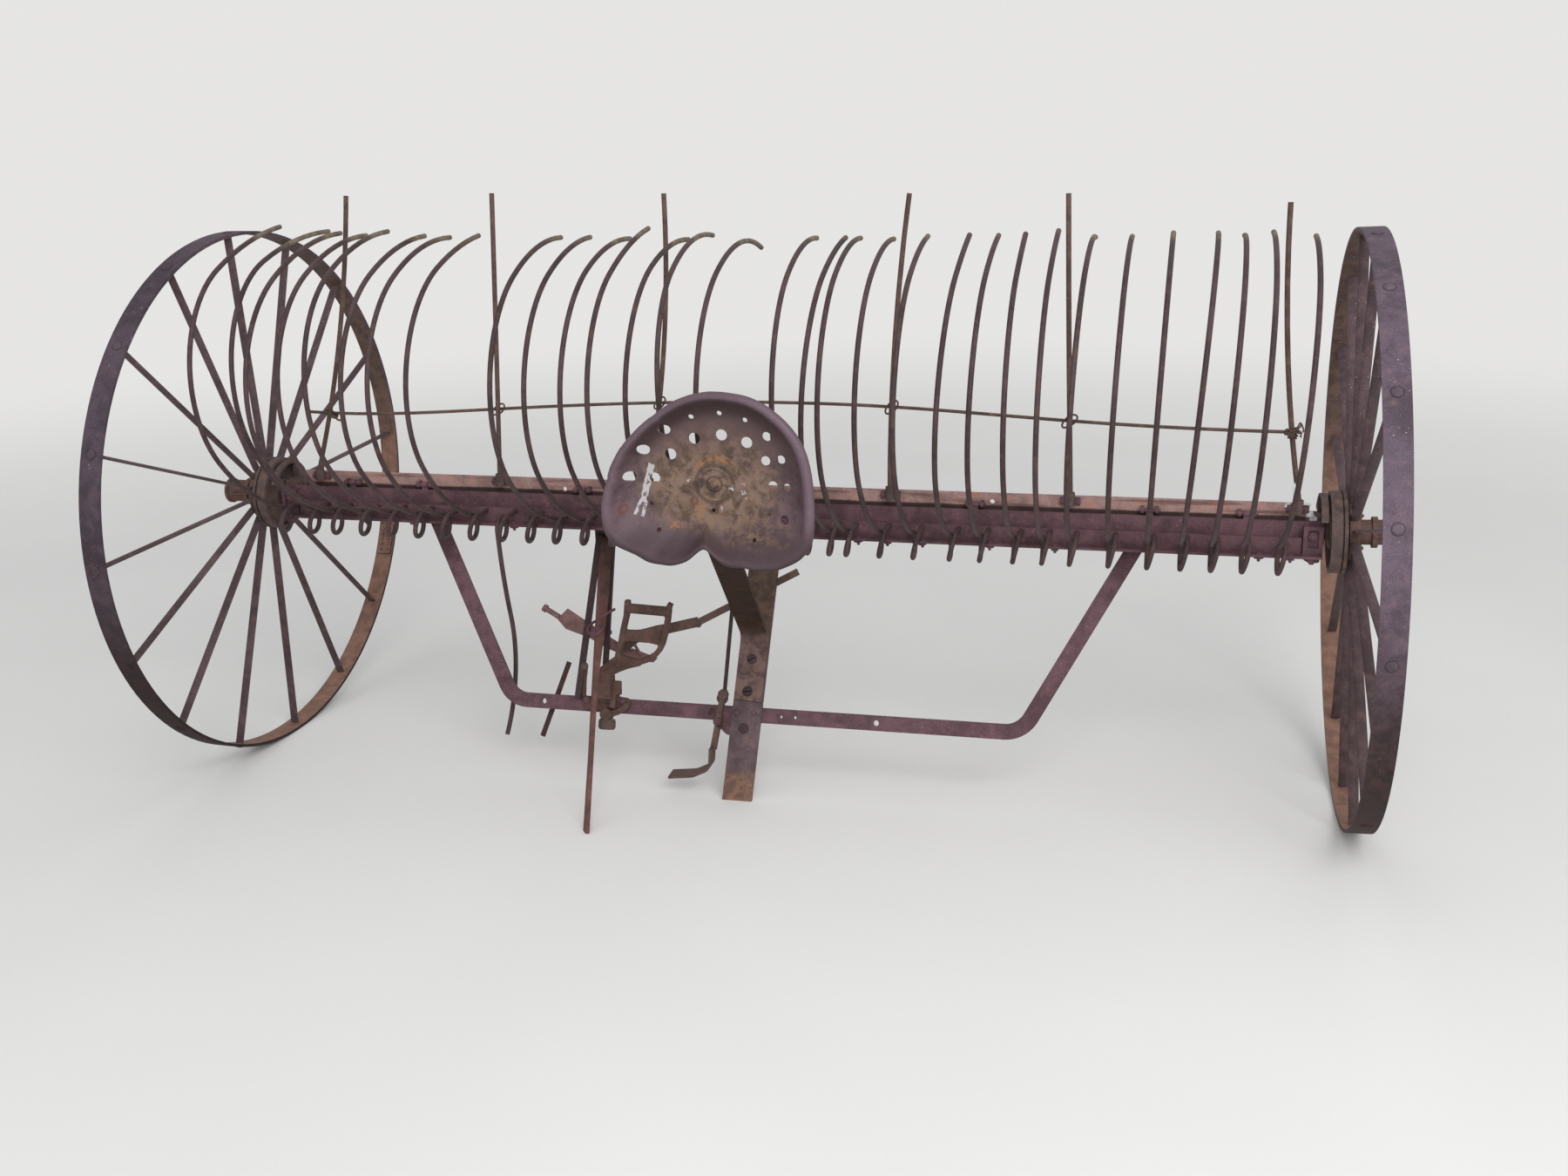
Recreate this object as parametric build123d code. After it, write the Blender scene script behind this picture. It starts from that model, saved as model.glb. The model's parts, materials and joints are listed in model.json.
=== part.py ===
from build123d import *
import math
import os

os.makedirs("parts", exist_ok=True)

# Horse-drawn hay rake, standing as it parks: rolled forward about its axle, so the draft frame
# hangs down, the seat faces forward and the rake head is thrown up on its stop.
# Millimetres. +X along the axle, +Y rearward, +Z up, origin on the ground under the axle's middle.

WHEEL_R = 686.0
RIM_WIDTH = 54.0
RIM_THICK = 8.0
TRACK = 2800.0
SPOKES = 16
SPOKE_WIDE = 23.0
SPOKE_THICK = 8.0
FLANGE_R = 72.0
BARREL_R = 29.0
SPINDLE_R = 19.0
BORE_R = 19.05
DRUM_R = 95.0
STUB_GAP = 8.0
HOOD_R = 88.0
HOOD_THICK = 8.0
HOOD_WIDE = 15.0
DRUM_IN, DRUM_OUT = -66.0, -30.0

# side, lean about Y and about Z in degrees, as the bent wheels stand, and how far each is turned
WHEELS = [
    ("left", -1, 0.27, -2.27, -1.8),
    ("right", 1, -2.06, -0.55, 6.9),
]

BEAM_FRONT = -6.0
BEAM_THICK = 8.0
BEAM_LOW, BEAM_TOP = -12.0, 65.0
BEAM_LEG = 66.0
# how far inside the wheels' middle planes the beam ends
BEAM_INSET_LEFT, BEAM_INSET_RIGHT = 138.0, 118.0
BEAM_LEFT, BEAM_RIGHT = BEAM_INSET_LEFT - TRACK / 2, TRACK / 2 - BEAM_INSET_RIGHT
# x, height and radius of each bolt hole
BEAM_HOLES = [
    (-533.0, 38.0, 6.0),
    (560.0, 44.0, 6.0),
]

# stub axle castings at the beam's ends
STUB_FRONT, STUB_BACK = -5.0, 44.0
STUB_LOW, STUB_TOP = -30.0, 36.0

HINGE_Y, HINGE_H = -19.0, 40.0
HINGE_XS = [-1120.0, -915.0, -480.0, 40.0, 520.0, 930.0, 1150.0]
HINGE_PIN_R = 4.0
HINGE_EYE_R = 7.5

# how far inside the wheels' middle planes the rake head ends
HEAD_INSET = 80.0
HEAD_LEFT, HEAD_RIGHT = HEAD_INSET - TRACK / 2, TRACK / 2 - HEAD_INSET
WEB_FRONT, WEB_BACK = -22.0, -14.0
WEB_LOW, WEB_TOP = -52.0, 27.0
LIP_FRONT = -62.0
LIP_THICK = 6.0
STRIP_FRONT = -38.0
STRIP_TOP = -9.0
CASTING_WIDE = 44.0

TOOTH_R = 6.0
COIL_R = 30.0
COIL_Y, COIL_H = -100.0, -46.0
COIL_STEP = 14.0

ROD_R = 6.0
ROD_Y = -18.0
TIE_R = 4.0

DRAFT_TILT = 20.2
DRAFT_TOP_Y = 24.0
DRAFT_WIDE, DRAFT_THICK = 38.0, 11.0
# half widths at the top and the foot, and how far the foot lies down the plane
DRAFT_TOP_X, DRAFT_LOW_X, DRAFT_DROP = 934.0, 655.0, 509.0
DRAFT_BEND = 70.0
# x and radius of each hole in the foot
DRAFT_HOLES = [
    (-568.0, 7.0),
    (60.0, 4.0),
    (96.0, 4.0),
    (300.0, 7.0),
]
UPRIGHT_WIDE, UPRIGHT_THICK = 75.0, 10.0
UPRIGHT_FOOT_X, UPRIGHT_TOP_X, UPRIGHT_DROP = -38.0, 4.0, 718.0

SEAT_X = -1.0
SEAT_RIM_Y = -545.0
SEAT_DEEP = 70.0
SEAT_WALL = 3.0
SEAT_MID_H = 185.0


def at(x, y, h):
    """A point given by its height over the wheel centres."""
    return Vector(x, y, h + WHEEL_R)


def block(x0, x1, y0, y1, h0, h1):
    """A box between limits."""
    size = Box(x1 - x0, y1 - y0, h1 - h0)
    return Pos(*at((x0 + x1) / 2, (y0 + y1) / 2, (h0 + h1) / 2)) * size


def bar(a, b, radius):
    """A round bar between two points."""
    a, b = Vector(*a), Vector(*b)
    plane = Plane(origin=a, z_dir=b - a)
    return plane * Cylinder(radius, (b - a).length, align=(Align.CENTER, Align.CENTER, Align.MIN))


def flat(a, b, wide, thick, face):
    """A flat bar between two points, its wide face turned to the direction face."""
    a, b, face = Vector(*a), Vector(*b), Vector(*face)
    along = (b - a).normalized()
    side = along.cross(face).normalized()
    plane = Plane(origin=a, x_dir=side, z_dir=along)
    return plane * Box(wide, thick, (b - a).length, align=(Align.CENTER, Align.CENTER, Align.MIN))


def swept(path, radius):
    """A round wire along a path."""
    plane = Plane(origin=path @ 0, z_dir=path % 0)
    return sweep(plane * Circle(radius), path)


def strap(path, wide, thick, side):
    """A flat strap along a path, wide along the direction side."""
    plane = Plane(origin=path @ 0, x_dir=side, z_dir=path % 0)
    return sweep(plane * Rectangle(wide, thick), path)


parts = {}


def keep(name, *solids):
    """Files the solids of one node."""
    flat_list = []
    for item in solids:
        flat_list += list(item.solids())
    parts[name] = flat_list[0] if len(flat_list) == 1 else Compound(children=flat_list)


# Wheels, built about a local axis along +X, outboard positive.
def wheel_solids():
    lie = Rot(0, 90, 0)
    rim = lie * (Cylinder(WHEEL_R, RIM_WIDTH) - Cylinder(WHEEL_R - RIM_THICK, RIM_WIDTH))
    barrel_mid = (DRUM_IN + 100.0) / 2
    barrel = Pos(barrel_mid, 0, 0) * lie * Cylinder(BARREL_R, 100.0 - DRUM_IN)
    flange = Pos(-14, 0, 0) * lie * Cylinder(FLANGE_R, 22)
    collar = Pos(34, 0, 0) * lie * Cylinder(BARREL_R + 7, 12)
    cap_rim = Pos(94, 0, 0) * lie * Cylinder(BARREL_R + 4, 8)
    hub = barrel + flange + collar + cap_rim
    bore_end = 92.0
    bore = Pos((DRUM_IN + bore_end) / 2, 0, 0) * lie * Cylinder(BORE_R, bore_end - DRUM_IN)
    hub = hub - bore
    drum_mid = (DRUM_IN + DRUM_OUT) / 2
    drum = Pos(drum_mid, 0, 0) * lie * Cylinder(DRUM_R, DRUM_OUT - DRUM_IN)
    drum = drum - Pos(drum_mid, 0, 0) * lie * Cylinder(BARREL_R, DRUM_OUT - DRUM_IN)
    drum = drum - Pos(DRUM_IN, 0, 0) * lie * (Cylinder(DRUM_R - 9, 28) - Cylinder(BARREL_R + 10, 28))
    bars = None
    for i in range(SPOKES):
        shift = 4.0 if i % 2 else -4.0
        lean = math.degrees(math.atan2(14.0 - shift, WHEEL_R - FLANGE_R))
        one = extrude(Ellipse(SPOKE_WIDE / 2, SPOKE_THICK / 2), WHEEL_R)
        one = Rot(0, lean, 0) * one
        one = Pos(-14.0 + shift, 0, 0) * one
        one = Rot(i * 360.0 / SPOKES, 0, 0) * one
        keep_zone = lie * (Cylinder(WHEEL_R - RIM_THICK, 90) - Cylinder(FLANGE_R, 90))
        one = one & keep_zone
        bars = list(one.solids()) if bars is None else bars + list(one.solids())
    spokes = Compound(children=bars)
    spindle_in = DRUM_IN - STUB_GAP
    spindle_out = 90.0
    spindle_mid = (spindle_in + spindle_out) / 2
    spindle = Pos(spindle_mid, 0, 0) * lie * Cylinder(SPINDLE_R, spindle_out - spindle_in)
    return rim, spokes, hub, drum, spindle


rim, spokes, hub, drum, spindle = wheel_solids()
axle_blocks = {}
for side, sign, lean_y, lean_z, turn in WHEELS:
    camber = math.radians(abs(lean_y))
    centre_z = WHEEL_R * math.cos(camber) + RIM_WIDTH / 2 * math.sin(camber)
    place = Pos(sign * TRACK / 2, 0, centre_z) * Rot(0, lean_y, 0) * Rot(0, 0, lean_z)
    if sign < 0:
        place = place * Rot(0, 0, 180)
    keep("rim_" + side, place * rim)
    keep("spokes_" + side, place * Rot(turn, 0, 0) * spokes)
    keep("hub_" + side, place * hub)
    keep("ratchet_drum_" + side, place * drum)
    beam_end = BEAM_LEFT if sign < 0 else BEAM_RIGHT
    outer = sign * (TRACK / 2 + DRUM_IN - STUB_GAP)
    inner = beam_end - sign * 90
    x0, x1 = sorted((inner, outer))
    saddle = block(x0, x1, BEAM_FRONT + BEAM_THICK, STUB_BACK, BEAM_LOW + BEAM_THICK, STUB_TOP)
    x0, x1 = sorted((beam_end, outer))
    nose = block(x0, x1, STUB_FRONT, STUB_BACK, STUB_LOW, STUB_TOP)
    x0, x1 = sorted((inner, beam_end))
    beam_part = block(x0, x1, STUB_FRONT, STUB_BACK, STUB_LOW, BEAM_LOW + BEAM_THICK)
    body = (saddle + nose) - beam_part
    axle_blocks[side] = body + place * spindle

# Axle beam: an angle iron, upright leg in front.
beam = block(BEAM_LEFT, BEAM_RIGHT, BEAM_FRONT, BEAM_FRONT + BEAM_THICK, BEAM_LOW, BEAM_TOP)
leg_back = BEAM_FRONT + BEAM_LEG
beam = beam + block(BEAM_LEFT, BEAM_RIGHT, BEAM_FRONT, leg_back, BEAM_LOW, BEAM_LOW + BEAM_THICK)
for x, h, radius in BEAM_HOLES:
    hole = Pos(*at(x, BEAM_FRONT + BEAM_THICK / 2, h)) * Rot(90, 0, 0) * Cylinder(radius, 20)
    beam = beam - hole
keep("axle_beam", beam)
for side in ("left", "right"):
    keep("stub_axle_" + side, axle_blocks[side] - beam)

# Half-round covers over the inner side of the ratchet drums.
for side, sign, lean_y, lean_z, turn in WHEELS:
    hood_out = TRACK / 2 + DRUM_IN - 9.0
    x0, x1 = sorted((sign * (hood_out - HOOD_WIDE), sign * hood_out))
    ring = Cylinder(HOOD_R, HOOD_WIDE) - Cylinder(HOOD_R - HOOD_THICK, HOOD_WIDE)
    ring = Pos(*at((x0 + x1) / 2, 0, 0)) * Rot(0, 90, 0) * ring
    ring = ring & block(x0, x1, -HOOD_R, HOOD_R, 40, HOOD_R)
    web = block(x0, x1, 36, STUB_BACK, STUB_TOP, 72) + block(x0, x1, STUB_BACK, 76, STUB_TOP, 44)
    web = web & (Pos(*at((x0 + x1) / 2, 0, 0)) * Rot(0, 90, 0) * Cylinder(HOOD_R, HOOD_WIDE))
    keep("drum_hood_" + side, ring + web)

# Stripper rods in foot castings on the beam, and the tie rod wired to them.
# foot x, x and height where the tie rod crosses, x and height of the top
RODS = [
    (-1213.0, -1167.0, 222.0, -1057.0, 774.0),
    (-703.0, -694.0, 243.0, -667.0, 777.0),
    (-300.0, -264.0, 268.0, -229.0, 773.0),
    (313.0, 317.0, 270.0, 360.0, 768.0),
    (745.0, 738.0, 246.0, 720.0, 765.0),
    (1262.0, 1236.0, 232.0, 1198.0, 742.0),
]
feet, rods = [], []
for foot_x, mid_x, mid_h, top_x, top_h in RODS:
    low = at(foot_x, ROD_Y, 76)
    mid = at(mid_x, ROD_Y, mid_h)
    top = at(top_x, ROD_Y, top_h)
    path = Spline(low, mid, top)
    rods.append(swept(path, ROD_R))
    foot = block(foot_x - 24, foot_x + 24, BEAM_FRONT - 6, BEAM_FRONT, 44, 62)
    foot = foot + Pos(*at(foot_x, ROD_Y, 60)) * Cylinder(11, 32)
    foot = foot - block(foot_x - 30, foot_x + 30, BEAM_FRONT, BEAM_FRONT + 20, 0, 90)
    zone = Pos(*at(foot_x, ROD_Y, 60)) * Cylinder(14, 32)
    rods[-1] = rods[-1] - zone
    feet.append(foot)
keep("rod_feet", *feet)
keep("stripper_rods", *rods)
tie_y = ROD_Y + ROD_R + TIE_R
tie_points = [at(-1232, tie_y, 224)]
tie_points += [at(row[1], tie_y, row[2]) for row in RODS]
tie_points += [at(1256, tie_y, 232)]
keep("tie_rod", swept(Spline(*tie_points), TIE_R))

# Rake head: angle iron with a tooth strip, hinged along the beam.
head = block(HEAD_LEFT, HEAD_RIGHT, WEB_FRONT, WEB_BACK, WEB_LOW, WEB_TOP)
head = head + block(HEAD_LEFT, HEAD_RIGHT, LIP_FRONT, WEB_FRONT, WEB_LOW, WEB_LOW + LIP_THICK)
keep("rake_head_angle", head)
strip_low = WEB_LOW + LIP_THICK
strip_x0, strip_x1 = HEAD_LEFT + CASTING_WIDE + 2, HEAD_RIGHT - CASTING_WIDE - 2
keep("tooth_strip", block(strip_x0, strip_x1, STRIP_FRONT, WEB_FRONT, strip_low, STRIP_TOP))
castings = [
    ("left", HEAD_LEFT, HEAD_LEFT + CASTING_WIDE),
    ("right", HEAD_RIGHT - CASTING_WIDE, HEAD_RIGHT),
]
for side, x0, x1 in castings:
    casting = block(x0, x1, -44, WEB_FRONT, strip_low, 20)
    casting = casting - block(x0 + 10, x1 - 10, -60, -36, -30, 12)
    keep("end_casting_" + side, casting)

ears, tabs, pins = [], [], []
for x in HINGE_XS:
    eye_plane = Pos(*at(x, HINGE_Y, HINGE_H)) * Rot(0, 90, 0)
    tab = eye_plane * Cylinder(HINGE_EYE_R, 16)
    tab = tab + block(x - 8, x + 8, WEB_FRONT, WEB_BACK, WEB_TOP, HINGE_H)
    tabs.append(tab - eye_plane * Cylinder(HINGE_PIN_R + 0.06, 40))
    for edge in (-17.0, 17.0):
        ear = Pos(edge, 0, 0) * eye_plane * Cylinder(HINGE_EYE_R, 8)
        ear = ear + block(x + edge - 4, x + edge + 4, HINGE_Y, BEAM_FRONT, HINGE_H - 6, HINGE_H + 7.5)
        ears.append(ear - eye_plane * Cylinder(HINGE_PIN_R, 60))
    pins.append(eye_plane * Cylinder(HINGE_PIN_R, 50))
keep("hinge_tabs", *tabs)
keep("hinge_ears", *ears)
keep("hinge_pins", *pins)

# Teeth: spring wire with a coil in front of the strip. From the coil outwards each one is a
# straight start and a chain of bends that all share, then a last bend of its own.
TOOTH_START = 33.4
# bend radius and angle
TOOTH_BENDS = [
    (592.3, 28.7),
    (288.4, 47.4),
    (290.9, 59.6),
]
COIL_LAST = 160.0
# number, coil x, sideways lean at the tip, turn back at the coil, length and angle of the last bend
TEETH = [
    (1, -1283, -12, 1.0, 323, 19.1),
    (2, -1201, -12, 7.4, 341, 19.1),
    (3, -1135, 29, -3.4, 341, 29.2),
    (4, -1056, 21, -1.9, 321, 28.7),
    (5, -979, -5, -1.4, 335, 26.5),
    (6, -903, 37, -1.6, 300, 26.6),
    (7, -830, 26, -2.2, 319, 30.6),
    (8, -753, 36, 2.5, 241, 17.3),
    (11, -526, 19, -2.7, 318, 31.0),
    (12, -452, 27, -1.2, 283, 26.3),
    (13, -376, 34, 1.9, 299, 28.1),
    (14, -301, 21, -0.9, 295, 19.6),
    (15, -226, 30, 4.1, 282, 26.2),
    (16, -120, -29, -0.4, 392, 34.2),
    (17, -51, 19, -0.2, 412, 43.7),
    (19, 124, 6, -0.7, 314, 31.0),
    (20, 178, 38, -0.6, 232, 19.8),
    (21, 220, 20, -1.0, 295, 29.3),
    (22, 301, 19, -0.9, 285, 29.1),
    (23, 383, 23, -1.3, 250, 21.8),
    (24, 470, 38, -1.7, 203, 10.1),
    (25, 542, 28, -1.4, 226, 16.7),
    (26, 620, 13, -1.5, 197, 8.1),
    (27, 688, 15, -1.4, 232, 12.8),
    (28, 752, 27, -0.6, 343, 33.1),
    (29, 841, 22, -1.2, 288, 27.7),
    (30, 929, 24, -1.5, 303, 26.6),
    (31, 1004, 47, -1.3, 326, 28.7),
    (32, 1072, 37, -1.1, 337, 31.7),
    (33, 1141, 28, -1.0, 304, 26.0),
    (34, 1220, 35, -1.1, 253, 22.9),
]


def straight(point, heading, length):
    """A straight length of tooth wire, and where it ends."""
    end = point + heading * length
    return bar(point, end, TOOTH_R), end


def bend(point, heading, side, radius, angle):
    """A bent length of tooth wire, and the point, heading and side at its end."""
    centre = point + side * radius
    axis = Axis(centre, (point - centre).cross(heading))
    section = Plane(origin=point, z_dir=heading) * Circle(TOOTH_R)
    piece = revolve(section, axis, angle)
    turn = math.radians(angle)
    new_heading = heading * math.cos(turn) + side * math.sin(turn)
    new_side = side * math.cos(turn) - heading * math.sin(turn)
    return piece, centre - new_side * radius, new_heading, new_side


def coil(x, last):
    """The short end and the coil, and where the long end leaves it."""
    top = COIL_H + COIL_R
    pieces = []
    piece, point = straight(at(x + COIL_STEP, STRIP_FRONT, top), Vector(0, -1, 0), STRIP_FRONT - COIL_Y)
    pieces.append(piece)
    down = Vector(-COIL_STEP, 0, -2 * COIL_R)
    piece, point, heading, side = bend(point, Vector(0, -1, 0), down.normalized(), down.length / 2, 180)
    pieces.append(piece)
    piece, point, heading, side = bend(point, Vector(0, 1, 0), Vector(0, 0, 1), COIL_R, last)
    pieces.append(piece)
    return pieces, point, heading, side


def tooth(x, lean, back, run, angle):
    """One standing tooth, from its coil to its tip."""
    pieces, point, heading, inward = coil(x, COIL_LAST - back)
    bends = TOOTH_BENDS + [(run / math.radians(angle), angle)]
    turned, across = 0.0, 0.0
    for radius, angle in bends:
        across += radius * (math.cos(turned) - math.cos(turned + math.radians(angle)))
        turned += math.radians(angle)
    share = lean / across
    side = inward * -math.sqrt(1 - share**2) + Vector(share, 0, 0)
    piece, point = straight(point, heading, TOOTH_START)
    pieces.append(piece)
    for radius, angle in bends:
        piece, point, heading, side = bend(point, heading, side, radius, angle)
        pieces.append(piece)
    return pieces[0].fuse(*pieces[1:])


teeth = []
for number, x, sideways, back, run, angle in TEETH:
    teeth.append(tooth(x, sideways, back, run, angle))
keep("teeth", *teeth)

# One tooth has snapped off past its coil, and a loose one has slipped and hangs to the grass.
pieces, point, heading, side = coil(-597.0, 175.0)
piece, point = straight(point, heading, 16)
keep("broken_tooth", pieces[0].fuse(*pieces[1:], piece))
pieces, point, heading, side = coil(-672.0, 276.0)
piece, point = straight(point, heading, 30)
pieces.append(piece)
for way, radius, angle in [(1, 1200.0, 10.0), (-1, 300.0, 62.0)]:
    piece, point, heading, side = bend(point, heading, side * way, radius, angle)
    pieces.append(piece)
keep("hanging_tooth", pieces[0].fuse(*pieces[1:]))

# Draft frame, in one plane that leans back to the beam.
tilt = math.radians(DRAFT_TILT)
draft_plane = Plane(
    origin=at(0, DRAFT_TOP_Y, BEAM_LOW),
    x_dir=(1, 0, 0),
    z_dir=(0, -math.cos(tilt), math.sin(tilt)),
)
below_beam = block(-1500, 1500, -900, 900, -WHEEL_R, BEAM_LOW)
corners = [
    (-DRAFT_TOP_X, 12.0),
    (-DRAFT_LOW_X, -DRAFT_DROP),
    (DRAFT_LOW_X, -DRAFT_DROP),
    (DRAFT_TOP_X, 12.0),
]
path = FilletPolyline(*corners, radius=DRAFT_BEND)
section = Plane(origin=path @ 0, x_dir=(0, 0, 1), z_dir=path % 0) * Rectangle(DRAFT_THICK, DRAFT_WIDE)
band = sweep(section, path)
for x, radius in DRAFT_HOLES:
    band = band - Pos(x, -DRAFT_DROP, 0) * Cylinder(radius, 30)
draft = (draft_plane * band) & below_beam
keep("draft_bar", draft)

upright_z = DRAFT_THICK / 2 + UPRIGHT_THICK / 2
upright_lean = math.degrees(math.atan2(UPRIGHT_TOP_X - UPRIGHT_FOOT_X, UPRIGHT_DROP))
upright = Pos(UPRIGHT_FOOT_X, -UPRIGHT_DROP, upright_z) * Rot(0, 0, -upright_lean)
upright = upright * Pos(0, 350, 0) * Box(UPRIGHT_WIDE, 900, UPRIGHT_THICK)
upright = (draft_plane * upright) & below_beam
keep("upright", upright)


def on_draft(x, up, out):
    """A point on the draft frame's plane, out towards the front."""
    return draft_plane.from_local_coords(Vector(x, up, out))


# Seat spring: a strap bolted down the front of the upright, then bent forward under the seat.
spring_z = upright_z + UPRIGHT_THICK / 2 + 4.0
spring_x = -8.0
spring_end_y = SEAT_RIM_Y + SEAT_DEEP + 4.0
SPRING_LOW, SPRING_BEND = -473.0, -310.0
upright_slope = (UPRIGHT_TOP_X - UPRIGHT_FOOT_X) / UPRIGHT_DROP
spring_points = [
    on_draft(UPRIGHT_TOP_X + upright_slope * SPRING_LOW, SPRING_LOW, spring_z),
    on_draft(UPRIGHT_TOP_X + upright_slope * SPRING_BEND, SPRING_BEND, spring_z),
    at(spring_x, -360, -30),
    at(spring_x, spring_end_y, 96),
    at(spring_x, spring_end_y, 214),
]
path = FilletPolyline(*spring_points, radius=34)
spring = strap(path, UPRIGHT_WIDE - 4, 8, (1, 0, 0))

# Seat: a pressed pan with a rolled rim. Outline as x from its middle and height.
SEAT_OUTLINE = [
    (18, 394),
    (61, 392),
    (113, 379),
    (155, 354),
    (193, 317),
    (218, 275),
    (231, 224),
    (236, 168),
    (235, 115),
    (225, 62),
    (182, 24),
    (124, 9),
    (80, 11),
    (39, 18),
    (13, 39),
    (-7, 53),
    (-23, 46),
    (-41, 30),
    (-83, 13),
    (-142, 21),
    (-192, 46),
    (-225, 65),
    (-236, 106),
    (-234, 151),
    (-225, 187),
    (-209, 232),
    (-169, 290),
    (-113, 340),
    (-62, 373),
    (-18, 389),
]
# depth behind the rim, share of the outline's size, how far the outline has turned into an oval
SEAT_LEVELS = [
    (0.0, 1.0, 0.0),
    (12.0, 0.99, 0.0),
    (36.0, 0.92, 0.2),
    (56.0, 0.72, 0.6),
    (SEAT_DEEP, 0.34, 1.0),
]


def seat_form(grow, back):
    faces = []
    for depth, share, oval in SEAT_LEVELS:
        points = []
        for x, h in SEAT_OUTLINE:
            dx, dh = x, h - SEAT_MID_H
            reach = math.hypot(dx, dh)
            round_reach = 1 / math.hypot(dx / reach / 232, dh / reach / 190)
            length = (reach * (1 - oval) + round_reach * oval) * share + grow
            y = SEAT_RIM_Y + depth + back
            points.append(at(SEAT_X + dx * length / reach, y, SEAT_MID_H + dh * length / reach))
        edge = Spline(*points, periodic=True)
        faces.append(Face(Wire([edge])))
    return loft(faces)


seat = seat_form(0.0, 0.0) - seat_form(-SEAT_WALL, -SEAT_WALL)
# x from the seat's middle, height, radius
SEAT_HOLES = [
    (-97, 307, 12.5),
    (-35, 285, 12.5),
    (26, 294, 12.5),
    (82, 279, 12.5),
    (129, 295, 10.5),
    (-146, 261, 12.5),
    (-90, 249, 12.5),
    (123, 240, 10.5),
    (159, 245, 9.5),
    (-180, 200, 12.5),
    (-128, 195, 11.5),
    (138, 185, 10.5),
    (171, 184, 8.5),
    (166, 114, 10.0),
    (-37, 335, 5.5),
    (26, 344, 5.5),
    (82, 330, 5.5),
    (-137, 138, 5.0),
    (-119, 81, 5.5),
    (2, 125, 4.0),
    (97, 66, 5.0),
    (129, 122, 3.0),
]
for x, h, radius in SEAT_HOLES:
    seat = seat - Pos(*at(SEAT_X + x, SEAT_RIM_Y + 40, h)) * Rot(90, 0, 0) * Cylinder(radius, 120)
keep("seat", seat)
keep("seat_spring", spring - seat)

# Hanger under the beam that carries the prop and its struts.
hanger = block(-462, -396, 6, 14, -112, BEAM_LOW)
keep("hanger", hanger)
prop_top, prop_foot = at(-440, -6, -84), at(-346, -489, -WHEEL_R)
way = (prop_foot - prop_top).normalized()
prop = flat(prop_top, prop_foot + way * 40, 24, 8, (0, -1, 0.7))
prop = prop + flat(prop_top + Vector(9, 9, -6), prop_foot + way * 40 + Vector(9, 9, -6), 8, 24, (0, -1, 0.7))
prop = prop & block(-900, 900, -900, 6, -WHEEL_R, 0)
keep("prop_lever", prop)

strut_b = flat(at(-448, 2, -84), at(-470, -168, -470), 16, 8, (0, -1, 0.4))
strut_c = flat(at(-412, 2, -84), at(-396, -150, -380), 14, 8, (0, -1, 0.4))
behind = block(-900, 900, -900, 6, -WHEEL_R, 0)
strut_b = (strut_b & behind) - prop
strut_c = (strut_c & behind) - prop
keep("strut_long", strut_b - draft)
keep("strut_short", strut_c)

# Trip plate bolted behind the struts, and the bars that lead from it to the trip rod. Drawn in
# the plane of the long strut's back face.
LINK_X, LINK_Y, LINK_H = -461.0, -98.3, -321.6
link_plane = Plane(origin=at(LINK_X, LINK_Y, LINK_H), x_dir=(1, 0, 0), z_dir=(0, -0.915, 0.403))
PLATE_THICK = 6.0
# x, height in the plane and radius
TRIP_HOLES = [
    (-411, -8, 6.0),
    (-345, -28, 7.0),
]
# x and height in the plane
TRIP_OUTLINE = [
    (-520, 65),
    (-460, 32),
    (-421, 9),
    (-371, -17),
    (-269, -48),
    (-279, -60),
    (-326, -58),
    (-408, -30),
    (-457, -6),
    (-520, 12),
    (-546, 37),
]


def plate(plane, outline, low, high):
    """A flat plate from its outline in a plane."""
    face = make_face(Polyline(*outline, close=True))
    return plane * (Pos(0, 0, low) * extrude(face, high - low, dir=(0, 0, 1)))


trip_outline = [(x - LINK_X, up) for x, up in TRIP_OUTLINE]
trip = plate(link_plane, trip_outline, -PLATE_THICK, 0)
for x, up, radius in TRIP_HOLES:
    trip = trip - link_plane * (Pos(x - LINK_X, up, 0) * Cylinder(radius, 30))
trip_pin = bar((-121, 63, -3), (-80, 42, -3), 7)
trip_pin = trip_pin + bar((-125, 65, -3), (-117, 61, -3), 10)
latch = bar((130, -17, 3), (149, -44, 3), 4)
spacer = Pos(60, 10, 10) * Cylinder(7, 20)
trip = trip + link_plane * trip_pin + link_plane * latch + link_plane * spacer
trip = trip - strut_b - strut_c
keep("trip_plate", trip)
trip_bar = link_plane * (Pos(110, -24, 3) * Box(24, 24, PLATE_THICK))
for a, b in [((104, -26), (143, 8)), ((136, 5), (207, 25)), ((203, 24), (294, 49))]:
    trip_bar = trip_bar + link_plane * flat((*a, 3), (*b, 3), 25, PLATE_THICK, (0, 0, 1))
trip_bar = trip_bar + link_plane * (Pos(290, 44, -2) * Cylinder(9, 22))
keep("trip_bar", trip_bar - trip)
link = flat(at(-164, -83, -275), at(81, -23, -149), 17, PLATE_THICK, (0, -1, 0.4))
keep("trip_link", link - upright - trip_bar)
trip_rod = bar(at(-78, -71, -222), at(-84, -157, -440), 5)
keep("trip_rod", trip_rod - link)

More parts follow.
